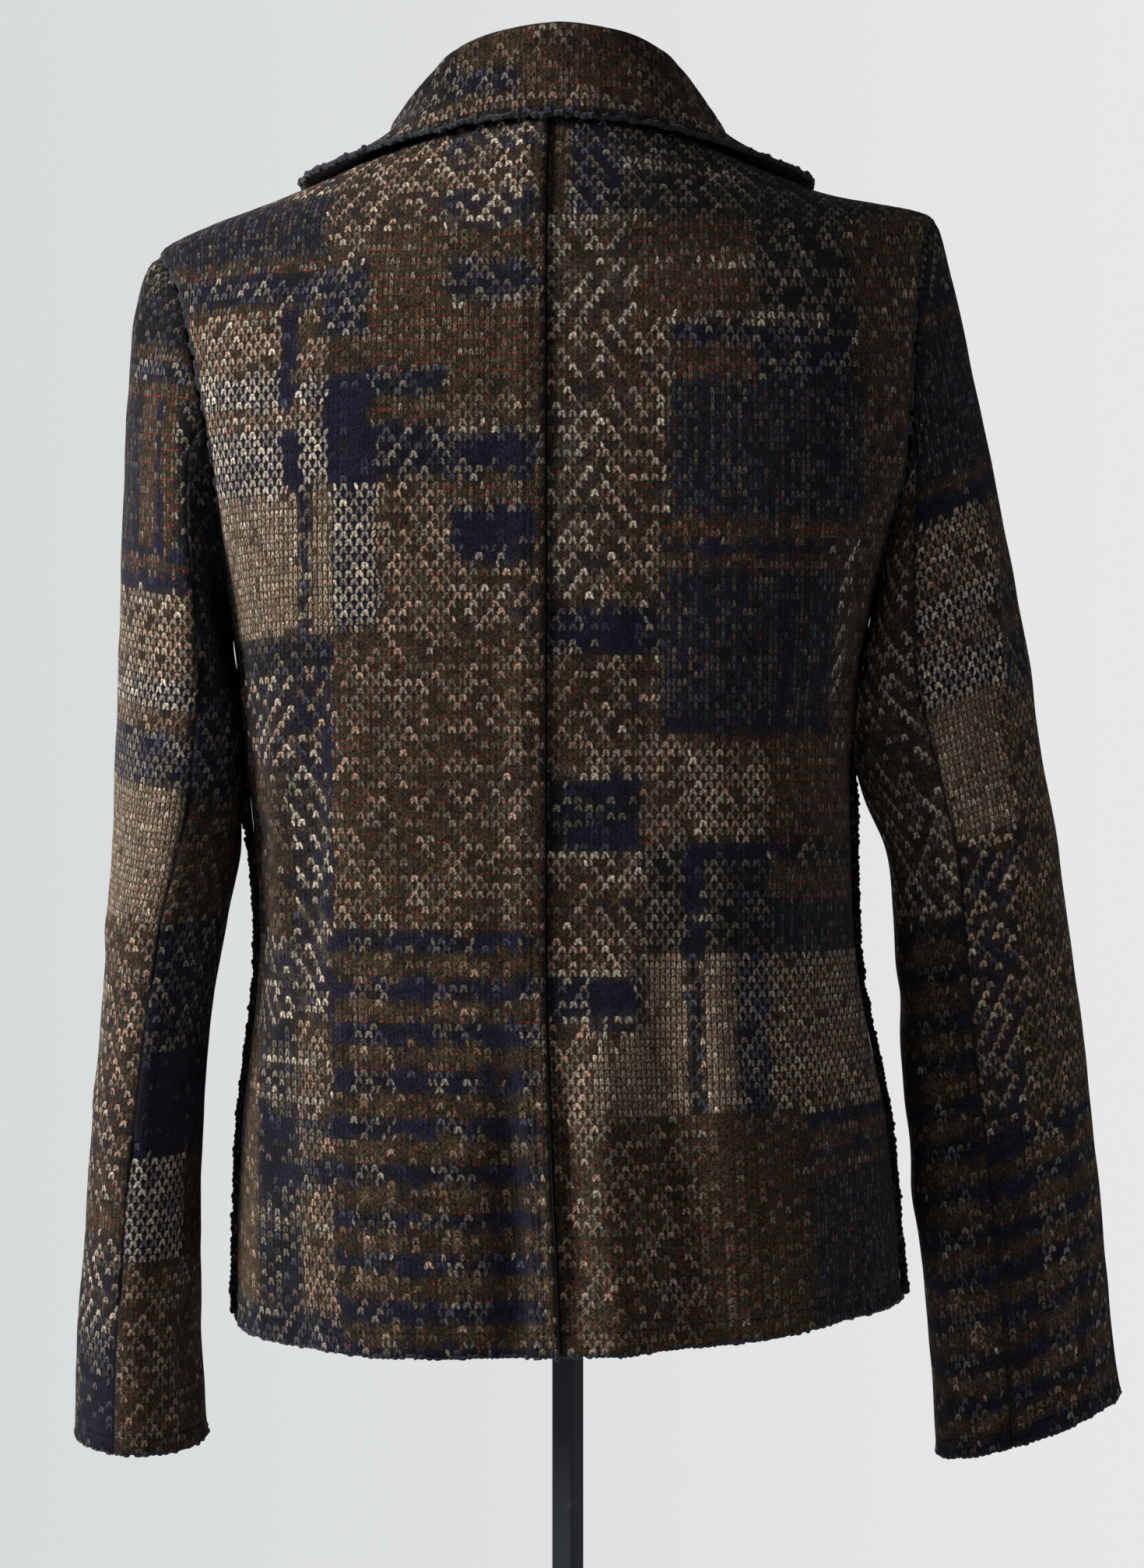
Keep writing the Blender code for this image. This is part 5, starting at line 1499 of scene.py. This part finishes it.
@dataclass
class Panel:
    """A piece of the body that is measured out from one line, such as a seam, and up that line.

    Attributes:
        form: The body's outer face.
        side: 1 for the wearer's left, -1 for the right.
        span: Degrees out from the line that a row may reach, from least to most, and its steps.
        levels: Lowest and highest level of the line, and its steps.
        growing: 1 where the left half's angles grow out from the line, -1 where they fall.
    """

    form: BodyForm
    side: int
    span: Range = (0.0, 40.0, 121)
    levels: Range = (0.0, 1.0, 401)
    growing: int = -1

    def line(self, level: Array) -> Array:
        """Returns the angles of the line up which the rows are measured."""
        return self.form.roll(level)

    def centre(self, level: Array) -> Array:
        """Returns the angles from which the rows are measured out."""
        return self.side * self.line(level)

    def climb(self) -> Pair:
        """Returns levels up the line and the length run at each."""
        level = np.linspace(*self.levels)
        return level, run_of(self.form.point(self.line(level), level, folded=False))

    @property
    def length(self) -> float:
        """Returns the length of the line."""
        return float(self.climb()[1][-1])

    def edges(self, level: float, at: Callable[[Array], float]) -> Two:
        """Returns the places of a row's two edges.

        Args:
            level: The row's level.
            at: Turns an angle on the body into a length out from the line.
        """
        raise NotImplementedError

    def lift(self, spread: Array, levels: Array) -> Array:
        """Returns how far the cloth lies off the body's outer face."""
        return 0.0 * spread

    def margins(self, spread: Array, start: Array, edge: Array, height: Array) -> Pair:
        """Returns the knots' distances to the nearest sewn seam and raw edge.

        Args:
            spread: Places of the knots out from the line.
            start: Places of the rows' first edges.
            edge: Places of their last edges.
            height: Lengths of the knots up the line.
        """
        raise NotImplementedError

    def lay(self, across: Array, along: Array) -> Laid:
        """Returns where the knots lie, measured out from the line and up it."""
        fine, climbed = self.climb()
        level = np.interp(along, climbed, fine)
        centre = self.centre(level)
        shape = (len(across), len(along))
        angles, spread = np.empty(shape), np.empty(shape)
        start, edge = np.empty(len(along)), np.empty(len(along))
        reach = np.linspace(*self.span)
        for row, height in enumerate(level):
            angle = centre[row] + self.side * self.growing * reach
            run = run_of(self.form.point(angle, height, folded=False))
            run -= np.interp(0.0, reach, run)
            start[row], edge[row] = self.edges(
                height, lambda place: np.interp(abs(place - centre[row]), reach, run)
            )
            spread[:, row] = np.clip(across, start[row], edge[row])
            angles[:, row] = np.interp(spread[:, row], run, angle)
        levels = np.broadcast_to(level, shape)
        out = self.form.normal(angles, levels)
        place = self.form.point(angles, levels) + out * self.lift(spread, levels)[..., None]
        up = np.broadcast_to(along, shape)
        seam, raw = self.margins(spread, start, edge, up)
        return Laid(place, out, spread, up, beyond(across, start, edge), seam, raw)


@dataclass
class BackPanel(Panel):
    """Half of the back, from the centre back seam to the side; the left half laps over the right."""

    span: Range = (-8.0, 104.0, 225)
    growing: int = 1
    lap_ease: float = 0.0012
    lap_fade: float = 0.013

    def line(self, level: Array) -> Array:
        """Returns the angles of the centre back seam."""
        return self.form.angle_at(self.form.size["seam_x"](level), level)

    def centre(self, level: Array) -> Array:
        """Returns the angles of the centre back seam."""
        return self.line(level)

    def edges(self, level: float, at: Callable[[Array], float]) -> Two:
        """Returns the places of the seam's edge and of the side seam or armhole."""
        outer = at(self.side * self.form.edge_angle(np.array(level), ARMHOLE_BACK))
        return (0.0 if self.side > 0 else -SEAM_LAP), outer

    def lift(self, spread: Array, levels: Array) -> Array:
        """Returns how far the half that laps over stands off the other."""
        if self.side < 0:
            return super().lift(spread, levels)
        return LAYER * (1 - ramp((spread - SEAM_LAP - self.lap_ease) / self.lap_fade))

    def margins(self, spread: Array, start: Array, edge: Array, height: Array) -> Pair:
        """Returns the distances to the seams on both sides, and to the hem."""
        return np.minimum(edge - spread, np.abs(spread)), height


@dataclass
class FrontPanel(Panel):
    """One front, from its edge at the centre front, and above it the lapel's roll line, to the side."""

    span: Range = (-12.0, 120.0, 265)
    turn_level: float = 0.71
    lap_ease: float = 0.0012
    lap_fade: float = 0.024
    lap_end: float = 0.02

    def line(self, level: Array) -> Array:
        """Returns the angles of the centre front."""
        return 180.0 + 0 * level

    def centre(self, level: Array) -> Array:
        """Returns the angles of the centre front, below zero on the right."""
        return self.form.angle_at(0.0, level, front=True) - (360.0 if self.side < 0 else 0.0)

    def edges(self, level: float, at: Callable[[Array], float]) -> Two:
        """Returns the places of the front edge or roll line and of the side seam or armhole."""
        outer = at(self.side * (180.0 - self.form.edge_angle(np.array(level), ARMHOLE_FRONT)))
        turned = ramp((level - BREAK_LEVEL) / (self.turn_level - BREAK_LEVEL))
        return -FRONT_LAP + (at(self.side * self.form.roll(level)) + FRONT_LAP) * turned, outer

    def lift(self, spread: Array, levels: Array) -> Array:
        """Returns how far the front that laps over stands off the other."""
        if self.side > 0:
            return super().lift(spread, levels)
        lapped = ramp((LAP_TOP_LEVEL + self.lap_end - levels) / (2 * self.lap_end))
        return LAYER * lapped * (1 - ramp((spread - FRONT_LAP - self.lap_ease) / self.lap_fade))

    def margins(self, spread: Array, start: Array, edge: Array, height: Array) -> Pair:
        """Returns the distances to the side, and to the hem or front edge."""
        return edge - spread, np.minimum(height, spread - start)


@dataclass
class Lapel(Panel):
    """The turned part of a front, from its roll line outwards."""

    levels: Range = (LAPEL[0][0], LAPEL[-1][0], 201)
    off: float = 0.0033
    rolled: float = 0.004
    at_roll: float = 0.35

    def edges(self, level: float, at: Callable[[Array], float]) -> Two:
        """Returns the places of the roll line and of the lapel's edge."""
        return 0.0, at(self.side * (self.form.roll(level) - self.form.lapel_width(level)))

    def lift(self, spread: Array, levels: Array) -> Array:
        """Returns how far the lapel stands off the front under it."""
        return self.off * (self.at_roll + (1 - self.at_roll) * ramp(spread / self.rolled))

    def margins(self, spread: Array, start: Array, edge: Array, height: Array) -> Pair:
        """Returns no near seam, and the distance to the lapel's edge."""
        return np.full(spread.shape, FAR), edge - spread

    def outer(self) -> Pair:
        """Returns the lapel's outer edge and its outward directions."""
        laid = self.lay(np.array([1.0]), np.linspace(0.0, self.length, 220))
        return laid.place[0] - laid.out[0] * CLOTH / 2, laid.out[0]


@dataclass
class Collar:
    """The collar, stand and fall in one, from one notch round the neck to the other."""

    form: BodyForm
    end: float = 128.0
    fold: float = 0.0052
    lift: float = 0.0072
    knee: float = 0.44
    neck_y: float = 0.004
    gap: float = 0.0003

    def section(self, angle: Array) -> Pair:
        """Returns each section's points, from the fall's edge to the neck seam, and outward directions.

        Args:
            angle: Degrees from the centre back of each section.
        """
        form = self.form
        away = np.abs(angle)
        table = read_table(COLLAR, ("stand", "lean", "edge"))
        stand, lean, edge_level = (profile(away) for profile in table.values())
        seam = form.point(angle, np.ones_like(angle))
        middle_x = (form.size["left_x"](1.0) + form.size["right_x"](1.0)) / 2
        outward = unit(np.column_stack([seam[:, 0] - middle_x, seam[:, 1] - self.neck_y, 0 * angle]))
        hub = seam + outward * (lean - CLOTH)[:, None] + Z_AXIS * (stand - self.fold)[:, None]
        start = seam - outward * LAYER + Z_AXIS * self.gap
        lines = [start + (hub - outward * self.fold - start) * t for t in np.linspace(0.0, 1.0, 9)[:-1]]
        for turn in np.radians(np.linspace(180.0, 0.0, 19)):
            lines.append(hub + (outward * math.cos(turn) + Z_AXIS * math.sin(turn)) * self.fold)
        edge = form.point(angle, edge_level, folded=False)
        low = edge + form.normal(angle, edge_level, folded=False) * self.lift
        top = lines[-1]
        middle = top - Z_AXIS * ((top - low)[:, 2] * self.knee)[:, None]
        for t in np.linspace(0.0, 1.0, 19)[1:]:
            lines.append(top * (1 - t) ** 2 + middle * 2 * t * (1 - t) + low * t * t)
        points = np.stack(lines, axis=1)[:, ::-1]
        return points, unit(np.cross(np.gradient(points, axis=1), np.gradient(points, axis=0)))

    def surface(self) -> Meridians:
        """Returns the collar as lines from the fall's edge over the fold to the neck seam."""
        points, normals = self.section(np.linspace(-self.end, self.end, 257))
        return Meridians(points, normals, closed=False)


@dataclass
class Sleeve:
    """One two-piece sleeve, with its cap set into the armhole."""

    form: BodyForm
    label: str
    rings: Sequence[Sequence[float]]
    side: int
    lines: int = 192

    def armhole(self) -> Array:
        """Returns the armhole's points, from the shoulder tip down the back and up the front."""
        turn = np.arange(self.lines) * 2 * math.pi / self.lines
        level = CHEST_LEVEL + (TIP_LEVEL - CHEST_LEVEL) * (1 + np.cos(turn)) / 2
        at_back = turn <= math.pi
        back = self.form.edge_angle(level, ARMHOLE_BACK)
        front = 180.0 - self.form.edge_angle(level, ARMHOLE_FRONT)
        points = self.form.point(self.side * np.where(at_back, back, front), level)
        centre = points.mean(axis=0)
        return points - SLEEVE_GAP * unit(points - centre)

    def welt(self) -> Pair:
        """Returns the path of the welt in the armhole seam and its outward directions."""
        points = self.armhole()
        out = unit(points - points.mean(axis=0) + self.side * WELT_LEAN * X_AXIS)
        path = points - WELT_DEPTH * out
        return np.concatenate([path, path[:1]]), np.concatenate([out, out[:1]])

    def rings_at(self, z: Array) -> Array:
        """Returns rings of the sleeve, line by line, at centre heights."""
        table = read_table(self.rings[::-1], SLEEVE_COLUMNS)
        size = {name: profile(z) for name, profile in table.items()}
        turn = (np.arange(self.lines) * 2 * math.pi / self.lines)[:, None] + np.radians(size["twist"])
        out, back = np.cos(turn), np.sin(turn)
        across, deep = size["half_width"] * out, size["half_depth"] * back
        lean = np.radians(size["turn"])
        x = self.side * (size["x"] + across * np.cos(lean) - deep * np.sin(lean))
        y = size["y"] + across * np.sin(lean) + deep * np.cos(lean)
        rise = z + size["outer_rise"] * out + size["back_rise"] * back
        return np.stack([x, y, rise], axis=-1)

    def surface(self) -> Meridians:
        """Returns the sleeve as lines from the cuff up to the armhole."""
        high, low = self.rings[0][0], self.rings[-1][0]
        top, below = (self.rings_at(np.array([z]))[:, 0] for z in (high, high - CAP_DROP))
        armhole = self.armhole()
        hang = unit(below - top)
        spoke = unit(armhole - armhole.mean(axis=0))
        spread = spoke * (1.0 - X_AXIS) + hang
        start = unit(self.side * X_AXIS + CAP_SPREAD * spread)
        reach = np.linalg.norm(top - armhole, axis=1, keepdims=True)
        first = start * np.minimum(CAP_START[self.label], CAP_LIMITS[0] * reach)
        last = hang * np.minimum(CAP_END, CAP_LIMITS[1] * reach)
        cap = []
        for t in np.linspace(0.0, 1.0, 49)[:-1]:
            ends = armhole * (1 + 2 * t) * (1 - t) ** 2 + top * t * t * (3 - 2 * t)
            cap.append(ends + first * t * (1 - t) ** 2 - last * t * t * (1 - t))
        tube = self.rings_at(np.linspace(high, low, 97))
        points = np.concatenate([np.stack(cap, axis=1), tube], axis=1)[:, ::-1]
        around = (np.roll(points, -1, axis=0) - np.roll(points, 1, axis=0)) / 2
        normals = unit(np.cross(around, np.gradient(points, axis=1)))
        return Meridians(points, self.side * normals, closed=True)


@dataclass
class SeamFin:
    """The two allowances of a side seam, which stand out of it as a raw-edged fin.

    Attributes:
        root: Thickness at the seam, as a share of that at the edge.
        bends: How far the fin bends to the back, how fast along the seam, and where it starts to.
    """

    form: BodyForm
    side: int
    top: float
    reach: float = 0.0030
    half: float = 0.0012
    root: float = 0.6
    fade: float = 0.05
    bunched: float = 0.75
    bunch_at: float = 0.285
    bunch_half: float = 0.04
    bends: Sequence[Three] = ((0.0007, 95.0, 0.0), (0.0004, 260.0, 1.0))

    def seam(self) -> tuple[Array, Array, Array]:
        """Returns levels up the side seam, its points there and the length run at each."""
        level = np.linspace(0.0, 1.0, 401)
        points = self.form.point(self.side * 90.0, level)
        return level, points, run_of(points)

    @property
    def length(self) -> float:
        """Returns the fin's length up from the hem."""
        _, points, run = self.seam()
        return float(np.interp(self.top, points[:, 2], run))

    def lay(self, across: Array, along: Array) -> Laid:
        """Returns where the knots lie, measured out from the seam and up from the hem."""
        fine, _, run = self.seam()
        level = np.interp(along, run, fine)
        seam = self.form.point(self.side * 90.0, level)
        away = self.form.normal(self.side * 90.0, level)
        shape = (len(across), len(along))
        back = self.half + sum(far * np.sin(along * fast + start) for far, fast, start in self.bends)
        bunch = np.exp(-(((along - self.bunch_at) / self.bunch_half) ** 2))
        tall = ramp((self.length - along) / self.fade) * (1.0 + self.bunched * bunch)
        spread = np.broadcast_to(np.clip(across, 0.0, self.reach)[:, None], shape)
        thin = self.root + (1 - self.root) * np.clip(across / self.reach, 0.0, 1.0)
        place = seam + away * (spread * tall)[..., None] + Y_AXIS * (back * thin[:, None])[..., None]
        out = np.broadcast_to(Y_AXIS, (*shape, 3))
        up = np.broadcast_to(along, shape)
        raw = np.broadcast_to((self.reach - across)[:, None], shape)
        off = np.broadcast_to(beyond(across, 0.0, self.reach), shape)
        return Laid(place, out, spread, up, off, np.full(shape, FAR), raw)

    def edge_path(self) -> Pair:
        """Returns the fin's outer edge and its outward directions."""
        laid = self.lay(np.array([self.reach]), np.linspace(0.0, self.length, 300))
        return laid.place[0] - self.half * Y_AXIS, laid.out[0]


@dataclass
class DressForm:
    """The form's torso and neck, a smooth firm body just inside the cloth, cut flat at the bottom."""

    form: BodyForm
    columns: int = 120
    rows: int = 110
    bottom: float = 0.846
    tuck: float = 0.92
    neck: Two = (0.009, 0.004)
    neck_half: Two = (0.056, 0.052)
    neck_top: float = 1.44
    fullness: float = 0.8

    def build(self, finish: Material) -> Thing:
        """Makes the torso."""
        turn = np.linspace(0.0, 360.0, self.columns + 1)
        turn[-1] = 0.0
        level = np.linspace(FORM[0][0], FORM[-1][0], self.rows)
        gap, side_gap = (profile(level) for profile in read_table(FORM, ("gap", "side_gap")).values())
        angle, height = np.meshgrid(turn, level, indexing="ij")
        depth = CLOTH + gap + side_gap * np.sin(np.radians(angle)) ** 4
        body = self.form.point(angle, height, folded=False)
        body = body - depth[..., None] * self.form.normal(angle, height, folded=False)
        flat = body[:, 0] * self.tuck * (1.0 - Z_AXIS) + self.bottom * Z_AXIS
        middle = flat.mean(axis=0)
        tucked = [middle + (flat - middle) * share for share in (0.0001, 0.4, 0.8, 0.96)]
        way = np.radians(turn)
        neck = np.column_stack([
            self.neck[0] + self.neck_half[0] * np.sin(way), self.neck[1] + self.neck_half[1] * np.cos(way),
            np.full(len(way), self.neck_top),
        ])
        rise = []
        for share in np.linspace(0.0, 1.0, 17)[1:]:
            inwards = math.sin(share * math.pi / 2) ** self.fullness
            lift = np.array((inwards, inwards, 1 - math.cos(share * math.pi / 2)))
            rise.append(body[:, -1] + (neck - body[:, -1]) * lift)
        top = neck.mean(axis=0)
        closing = [top + (neck - top) * share for share in (0.7, 0.0001)]
        lines = [*tucked, flat, *np.moveaxis(body, 1, 0), *rise, *closing]
        mesh = grid_mesh("form_torso_jersey", np.stack(lines, axis=1), 0.0001)
        torso = add_piece("form_torso_jersey", mesh, "form_jersey", "form_torso")
        mesh.materials.append(finish)
        return torso


@dataclass
class Coat:
    """The cloth of the coat: its cut pieces and the fins of its side seams.

    Attributes:
        fin_rise: How far a fin runs up past its CAD node.
        fin_turn: Width of an allowance inside the seam.
    """

    form: BodyForm = field(default_factory=BodyForm)
    fin_rise: float = 0.055
    fin_turn: float = 0.0022

    def panels(self) -> list[Piece]:
        """Returns the pieces of the body."""
        pieces, hem, torso = [], Line(1, 0.0112), ("form_torso",)
        for label, side, seed in (("right", -1, 11), ("left", 1, 12)):
            name, panel = f"back_{label}", BackPanel(self.form, side)
            # Left back: two rows of topstitching; right back: painted shadow beside the left's lapped edge
            stitch_and_shadow = (Line(0, 0.0066), Line(0, 0.0096)) if side > 0 else (Line(0, 0.0005, 0.0006, False),)
            pieces.append(Piece(
                name, panel.lay, (-0.010 if side < 0 else 0.0, 0.245), panel.length, seed,
                (0.245, 0.66), 0.128, "hung", torso, lines=(hem, *stitch_and_shadow),
            ))
        for label, side, seed in (("left", 1, 13), ("right", -1, 14)):
            name, panel = f"front_{label}", FrontPanel(self.form, side)
            pieces.append(Piece(
                name, panel.lay, (-0.0204, 0.245), panel.length, seed, (0.265, 0.60), 0.115, "hung",
                torso, lines=(hem,), shift=(-1.5, -3.0),
            ))
        for label, side, seed in (("left", 1, 15), ("right", -1, 16)):
            name, turned = f"lapel_{label}", Lapel(self.form, side)
            pieces.append(Piece(
                name, turned.lay, (0.0, 0.10), turned.length, seed, (0.09, 0.16), 0.008, "folded",
                (f"front_{label}",), shift=(-2.0, -30.0), edge=None, welt=turned.outer(),
                welt_edge=RawEdge(radius=0.0014, bobble=0.6),
            ))
        return pieces

    def collar(self) -> Piece:
        """Returns the collar."""
        surface = Collar(self.form).surface()
        return Piece(
            "collar", Strip(surface, 0.5, 0.0, 1.0, False).lay, (-0.33, 0.33), float(surface.reach.max()),
            21, (0.46, 0.09), 0.030, "folded", ("back_left", "back_right"),
            edge=RawEdge(radius=0.0018, bobble=0.3),
        )

    def sleeves(self) -> list[Piece]:
        """Returns the four pieces of the sleeves."""
        pieces, cuff = [], (Line(1, 0.0095),)
        for label, rings, side, seed in (("left", LEFT_SLEEVE, 1, 31), ("right", RIGHT_SLEEVE, -1, 33)):
            sleeve = Sleeve(self.form, label, rings, side)
            surface = sleeve.surface()
            over, under = f"top_sleeve_{label}", f"under_sleeve_{label}"
            pieces.append(Piece(
                over, Strip(surface, 0.0, FRONT_SEAM - 1.0, BACK_SEAM).lay, (-0.135, 0.135),
                float(surface.reach.max()), seed, (0.21, 0.62), 0.105, "hung",
                (f"back_{label}", f"front_{label}"), lines=cuff, welt=sleeve.welt(),
            ))
            pieces.append(Piece(
                under, Strip(surface, BACK_SEAM, BACK_SEAM, FRONT_SEAM).lay, (0.0, 0.25), 0.56,
                seed + 1, (0.17, 0.50), 0.066, "hung", (over,), lines=cuff,
            ))
        return pieces

    def fins(self, reverse: Material) -> None:
        """Makes the two side seams' fins."""
        for label, side, seed in (("left", 1, 41), ("right", -1, 42)):
            node = f"side_seam_{label}"
            fin = SeamFin(self.form, side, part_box(node)[1][2] + self.fin_rise)
            piece = Piece(
                node, fin.lay, (0.0, fin.reach + 0.0001), fin.length, seed,
                (2 * (fin.reach + self.fin_turn), fin.length), fin.reach * fin.length * 1.5, "stretched",
                (f"back_{label}", f"front_{label}"), cell=(0.0013, 0.003), edge=None,
            )
            edge = RawEdge(radius=0.0012, bobble=0.8)
            rim = edge.build(f"{node}_edge", *fin.edge_path(), f"{node}_cloth", reverse, seed)
            piece.build(reverse, [rim])

    def build(self) -> None:
        """Makes every piece of the coat."""
        reverse = ReverseFinish().build("knit_reverse")
        for piece in (*self.panels(), self.collar(), *self.sleeves()):
            piece.build(reverse)
        self.fins(reverse)


# ---- light and camera


@dataclass
class Studio:
    """The floor, the lights and the camera."""

    eye: Three = (-0.0022, 2.31, 1.0855)
    lens: float = 100.8
    floor_radius: float = 2.4
    backdrop: tuple[Tone, Tone] = ((231, 231, 232), (217, 220, 220))
    backdrop_reach: Two = (-0.12, 0.12)
    glow: Three = (0.92, 0.96, 1.0)
    glow_strength: float = 0.12

    def build(self) -> None:
        """Sets up the studio."""
        self.world()
        self.floor()
        self.lamp("key", (1.90, 0.62, 1.88), (0.0, 0.0, 1.20), 0.8, 66.0)
        self.lamp("fill", (-2.0, 1.3, 2.1), (0.0, 0.0, 1.15), 1.4, 9.0)
        self.lamp("front", (0.9, -2.4, 2.2), (0.0, 0.0, 1.1), 1.8, 40.0)
        camera = bpy.data.cameras.new("camera")
        camera.sensor_fit = "VERTICAL"
        camera.sensor_height = 36.0
        camera.lens = self.lens
        eye = add_thing("camera", camera)
        aim = Matrix.Rotation(math.pi, 4, "Z") @ Matrix.Rotation(math.pi / 2, 4, "X")
        eye.matrix_world = Matrix.Translation(self.eye) @ aim
        bpy.context.scene.camera = eye
        bpy.context.scene.view_settings.view_transform = "Standard"

    def world(self) -> None:
        """Makes the pale backdrop, which lights the object less than it shows."""
        bench = Bench(bpy.data.worlds.new("studio"))
        bench.tree.nodes.clear()
        across = bench.split(bench.node("ShaderNodeTexCoord").outputs["Generated"])[0]
        low, high = self.backdrop_reach
        share = bench.value("ShaderNodeMapRange", {}, {0: across, 1: low, 2: high})
        tint = bench.mix(share, *(light_of(colour) for colour in self.backdrop))
        seen = bench.node("ShaderNodeBackground", {}, {"Color": tint}).outputs[0]
        glow = {"Color": self.glow, "Strength": self.glow_strength}
        lit = bench.node("ShaderNodeBackground", {}, glow).outputs[0]
        from_eye = bench.node("ShaderNodeLightPath").outputs["Is Camera Ray"]
        both = bench.node("ShaderNodeMixShader", {}, {0: from_eye, 1: lit, 2: seen}).outputs[0]
        bench.node("ShaderNodeOutputWorld", {}, {0: both})
        bpy.context.scene.world = bench.owner

    def floor(self) -> None:
        """Makes the pale floor, a disc whose rim fades out."""
        build = bmesh.new()
        bmesh.ops.create_circle(build, cap_ends=True, segments=96, radius=self.floor_radius)
        mesh = mesh_of("floor", build)
        add_thing("floor", mesh)
        bench = Bench.of("floor_paint")
        place = bench.place()
        x, y, _ = bench.split(place)
        away = (x * x + y * y).root()
        speck = bench.noise(place, 30.0, 4.0)
        colour = bench.scaled((0.60, 0.61, 0.61), 0.98 + 0.04 * speck)
        mesh.materials.append(bench.finish(
            Base_Color=colour, Roughness=0.6, Emission_Color=(0.78, 0.79, 0.79), Emission_Strength=0.22,
            Alpha=away.step(self.floor_radius - 0.1, self.floor_radius * 0.45),
        ))

    def lamp(
        self, name: str, place: Sequence[float], aim: Sequence[float], size: float, power: float
    ) -> None:
        """Adds a square soft lamp that faces a point, with its power in watts."""
        light = bpy.data.lights.new(name, "AREA")
        light.size = size
        light.energy = power
        lamp = add_thing(name, light)
        lamp.location = place
        lamp.rotation_euler = (Vector(aim) - Vector(place)).to_track_quat("-Z", "Y").to_euler()


def dress_nodes() -> None:
    """Gives the CAD nodes that are kept their finishes."""
    jersey = JerseyFinish().build("form_jersey_black")
    paint = PaintFinish().build("stand_paint")
    horn = HornFinish().build("button_horn")
    DressForm(BodyForm()).build(jersey)
    finishes = dict.fromkeys(("neck_cap", "stand_base", "stand_pole", "pole_socket"), paint)
    for name, material in (finishes | dict.fromkeys(("button_1", "button_2", "button_3"), horn)).items():
        node = bpy.data.objects[name]
        for slot in node.material_slots:
            slot.material = material


def main() -> None:
    """Builds the object in order."""
    logging.basicConfig(level=logging.INFO, format="%(name)s: %(message)s")
    Coat().build()
    dress_nodes()
    Studio().build()


if __name__ == "__main__":
    main()
